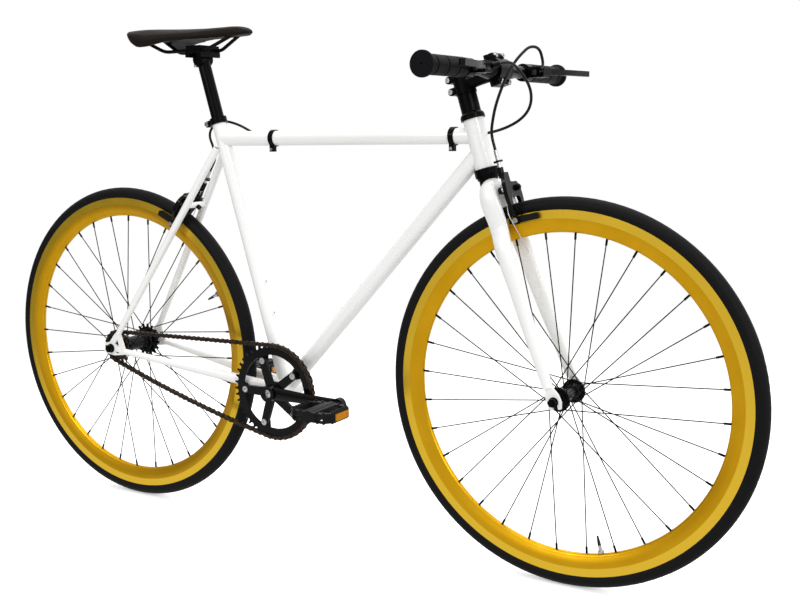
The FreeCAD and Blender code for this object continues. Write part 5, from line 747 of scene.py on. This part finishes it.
def paleFloor():
    # matt white paint with a glow: steady light for the bike, clear far out so that no edge shows
    material = newMaterial("paleFloor")
    tree = material.node_tree
    coords = addNode(tree, "ShaderNodeTexCoord").outputs["Object"]
    speck = addNode(tree, "ShaderNodeTexNoise", {"Scale": studio["speckScale"]}, {"Vector": coords})
    first, second = [linear(tone) for tone in studio["floor"]]
    shade = addNode(tree, "ShaderNodeMix", {"data_type": "RGBA", 6: first, 7: second}, {0: speck})
    matt = addNode(tree, "ShaderNodeBsdfDiffuse", links={"Color": shade.outputs[2]})
    glow = addNode(tree, "ShaderNodeEmission", {"Strength": studio["glow"]})
    bright = addNode(tree, "ShaderNodeAddShader", links={0: matt, 1: glow})
    sent = addNode(tree, "ShaderNodeEmission", {"Strength": studio["bounce"]})
    fromCamera = addNode(tree, "ShaderNodeLightPath").outputs["Is Camera Ray"]
    seen = addNode(tree, "ShaderNodeMixShader", links={0: fromCamera, 1: sent, 2: bright})
    reach = addNode(tree, "ShaderNodeVectorMath", {"operation": "LENGTH"}, {0: coords}).outputs["Value"]
    fade = addNode(tree, "ShaderNodeMapRange",
                   {"interpolation_type": "SMOOTHSTEP", **fromRange(studio["fade"])}, {"Value": reach})
    clear = addNode(tree, "ShaderNodeBsdfTransparent")
    whole = addNode(tree, "ShaderNodeMixShader", links={0: fade, 1: seen, 2: clear})
    addNode(tree, "ShaderNodeOutputMaterial", links={"Surface": whole})
    material.cycles.emission_sampling = "NONE"  # only rays that meet the floor find its light, so it is even
    return material


def whiteRoom():
    # plain white to the camera; on the bike it is brighter from the left, from above and away from the rear
    world = bpy.data.worlds.new("studio")
    world.use_nodes = True
    tree = world.node_tree
    tree.nodes.clear()
    aim = addNode(tree, "ShaderNodeTexCoord").outputs["Generated"]
    parts = addNode(tree, "ShaderNodeSeparateXYZ", links={0: aim}).outputs
    strength = addNode(tree, "ShaderNodeValue")
    strength.outputs[0].default_value = studio["even"]
    for axis, (edge, gain) in studio["ramps"].items():
        ramp = addNode(tree, "ShaderNodeMapRange", {**fromRange(edge), "To Max": gain},
                       {"Value": parts[axis]})
        strength = addNode(tree, "ShaderNodeMath", {"operation": "ADD"}, {0: strength, 1: ramp})
    lit = addNode(tree, "ShaderNodeBackground", {"Color": (1, 1, 1, 1)}, {"Strength": strength})
    seen = addNode(tree, "ShaderNodeBackground", {"Color": (1, 1, 1, 1), "Strength": 1.0})
    fromCamera = addNode(tree, "ShaderNodeLightPath").outputs["Is Camera Ray"]
    mixed = addNode(tree, "ShaderNodeMixShader", links={0: fromCamera, 1: lit, 2: seen})
    addNode(tree, "ShaderNodeOutputWorld", links={0: mixed})
    return world


def areaLight(name, place, aim, extent, power):
    light = bpy.data.lights.new(name, "AREA")
    light.shape = "RECTANGLE"
    light.size, light.size_y = extent
    light.energy = power
    lamp = bpy.data.objects.new(name, light)
    lamp.location = place
    lamp.rotation_euler = (Vector(aim) - Vector(place)).to_track_quat("-Z", "Y").to_euler()
    bpy.context.scene.collection.objects.link(lamp)


def photoCamera():
    # the eye of the photograph: ahead and to the right of the bike, looking slightly down
    eye = {"place": (1.187955, -1.672705, 0.790472), "yaw": 31.1306, "pitch": 9.0005, "roll": -0.8607,
           "focalPixels": 1072.746, "photoPixels": 800, "sensor": 36, "reach": 100}
    yaw, pitch, roll = [math.radians(eye[k]) for k in ("yaw", "pitch", "roll")]
    back = Vector((math.sin(yaw) * math.cos(pitch), -math.cos(yaw) * math.cos(pitch), math.sin(pitch)))
    right = (-back).cross(Vector((0, 0, 1))).normalized()
    above = back.cross(right)
    turnedRight = right * math.cos(roll) + above * math.sin(roll)
    turnedUp = above * math.cos(roll) - right * math.sin(roll)
    data = bpy.data.cameras.new("photoCamera")
    data.sensor_width = eye["sensor"]
    data.lens = eye["sensor"] * eye["focalPixels"] / eye["photoPixels"]
    data.clip_end = eye["reach"]
    camera = bpy.data.objects.new("photoCamera", data)
    turned = Matrix((turnedRight, turnedUp, back)).transposed().to_4x4()
    camera.matrix_world = Matrix.Translation(eye["place"]) @ turned
    bpy.context.scene.collection.objects.link(camera)
    bpy.context.scene.camera = camera


bpy.ops.mesh.primitive_plane_add(size=studio["floorSize"], location=(0, 0, -studio["floorDrop"]))
floor = bpy.context.object
floor.name = "floor"
floor.data.materials.append(paleFloor())
bpy.context.scene.world = whiteRoom()
for name, (place, aim, extent, power) in studio["softboxes"].items():
    areaLight(name, place, aim, extent, power)
photoCamera()
bpy.context.scene.view_settings.view_transform = "Standard"
print("studio set")
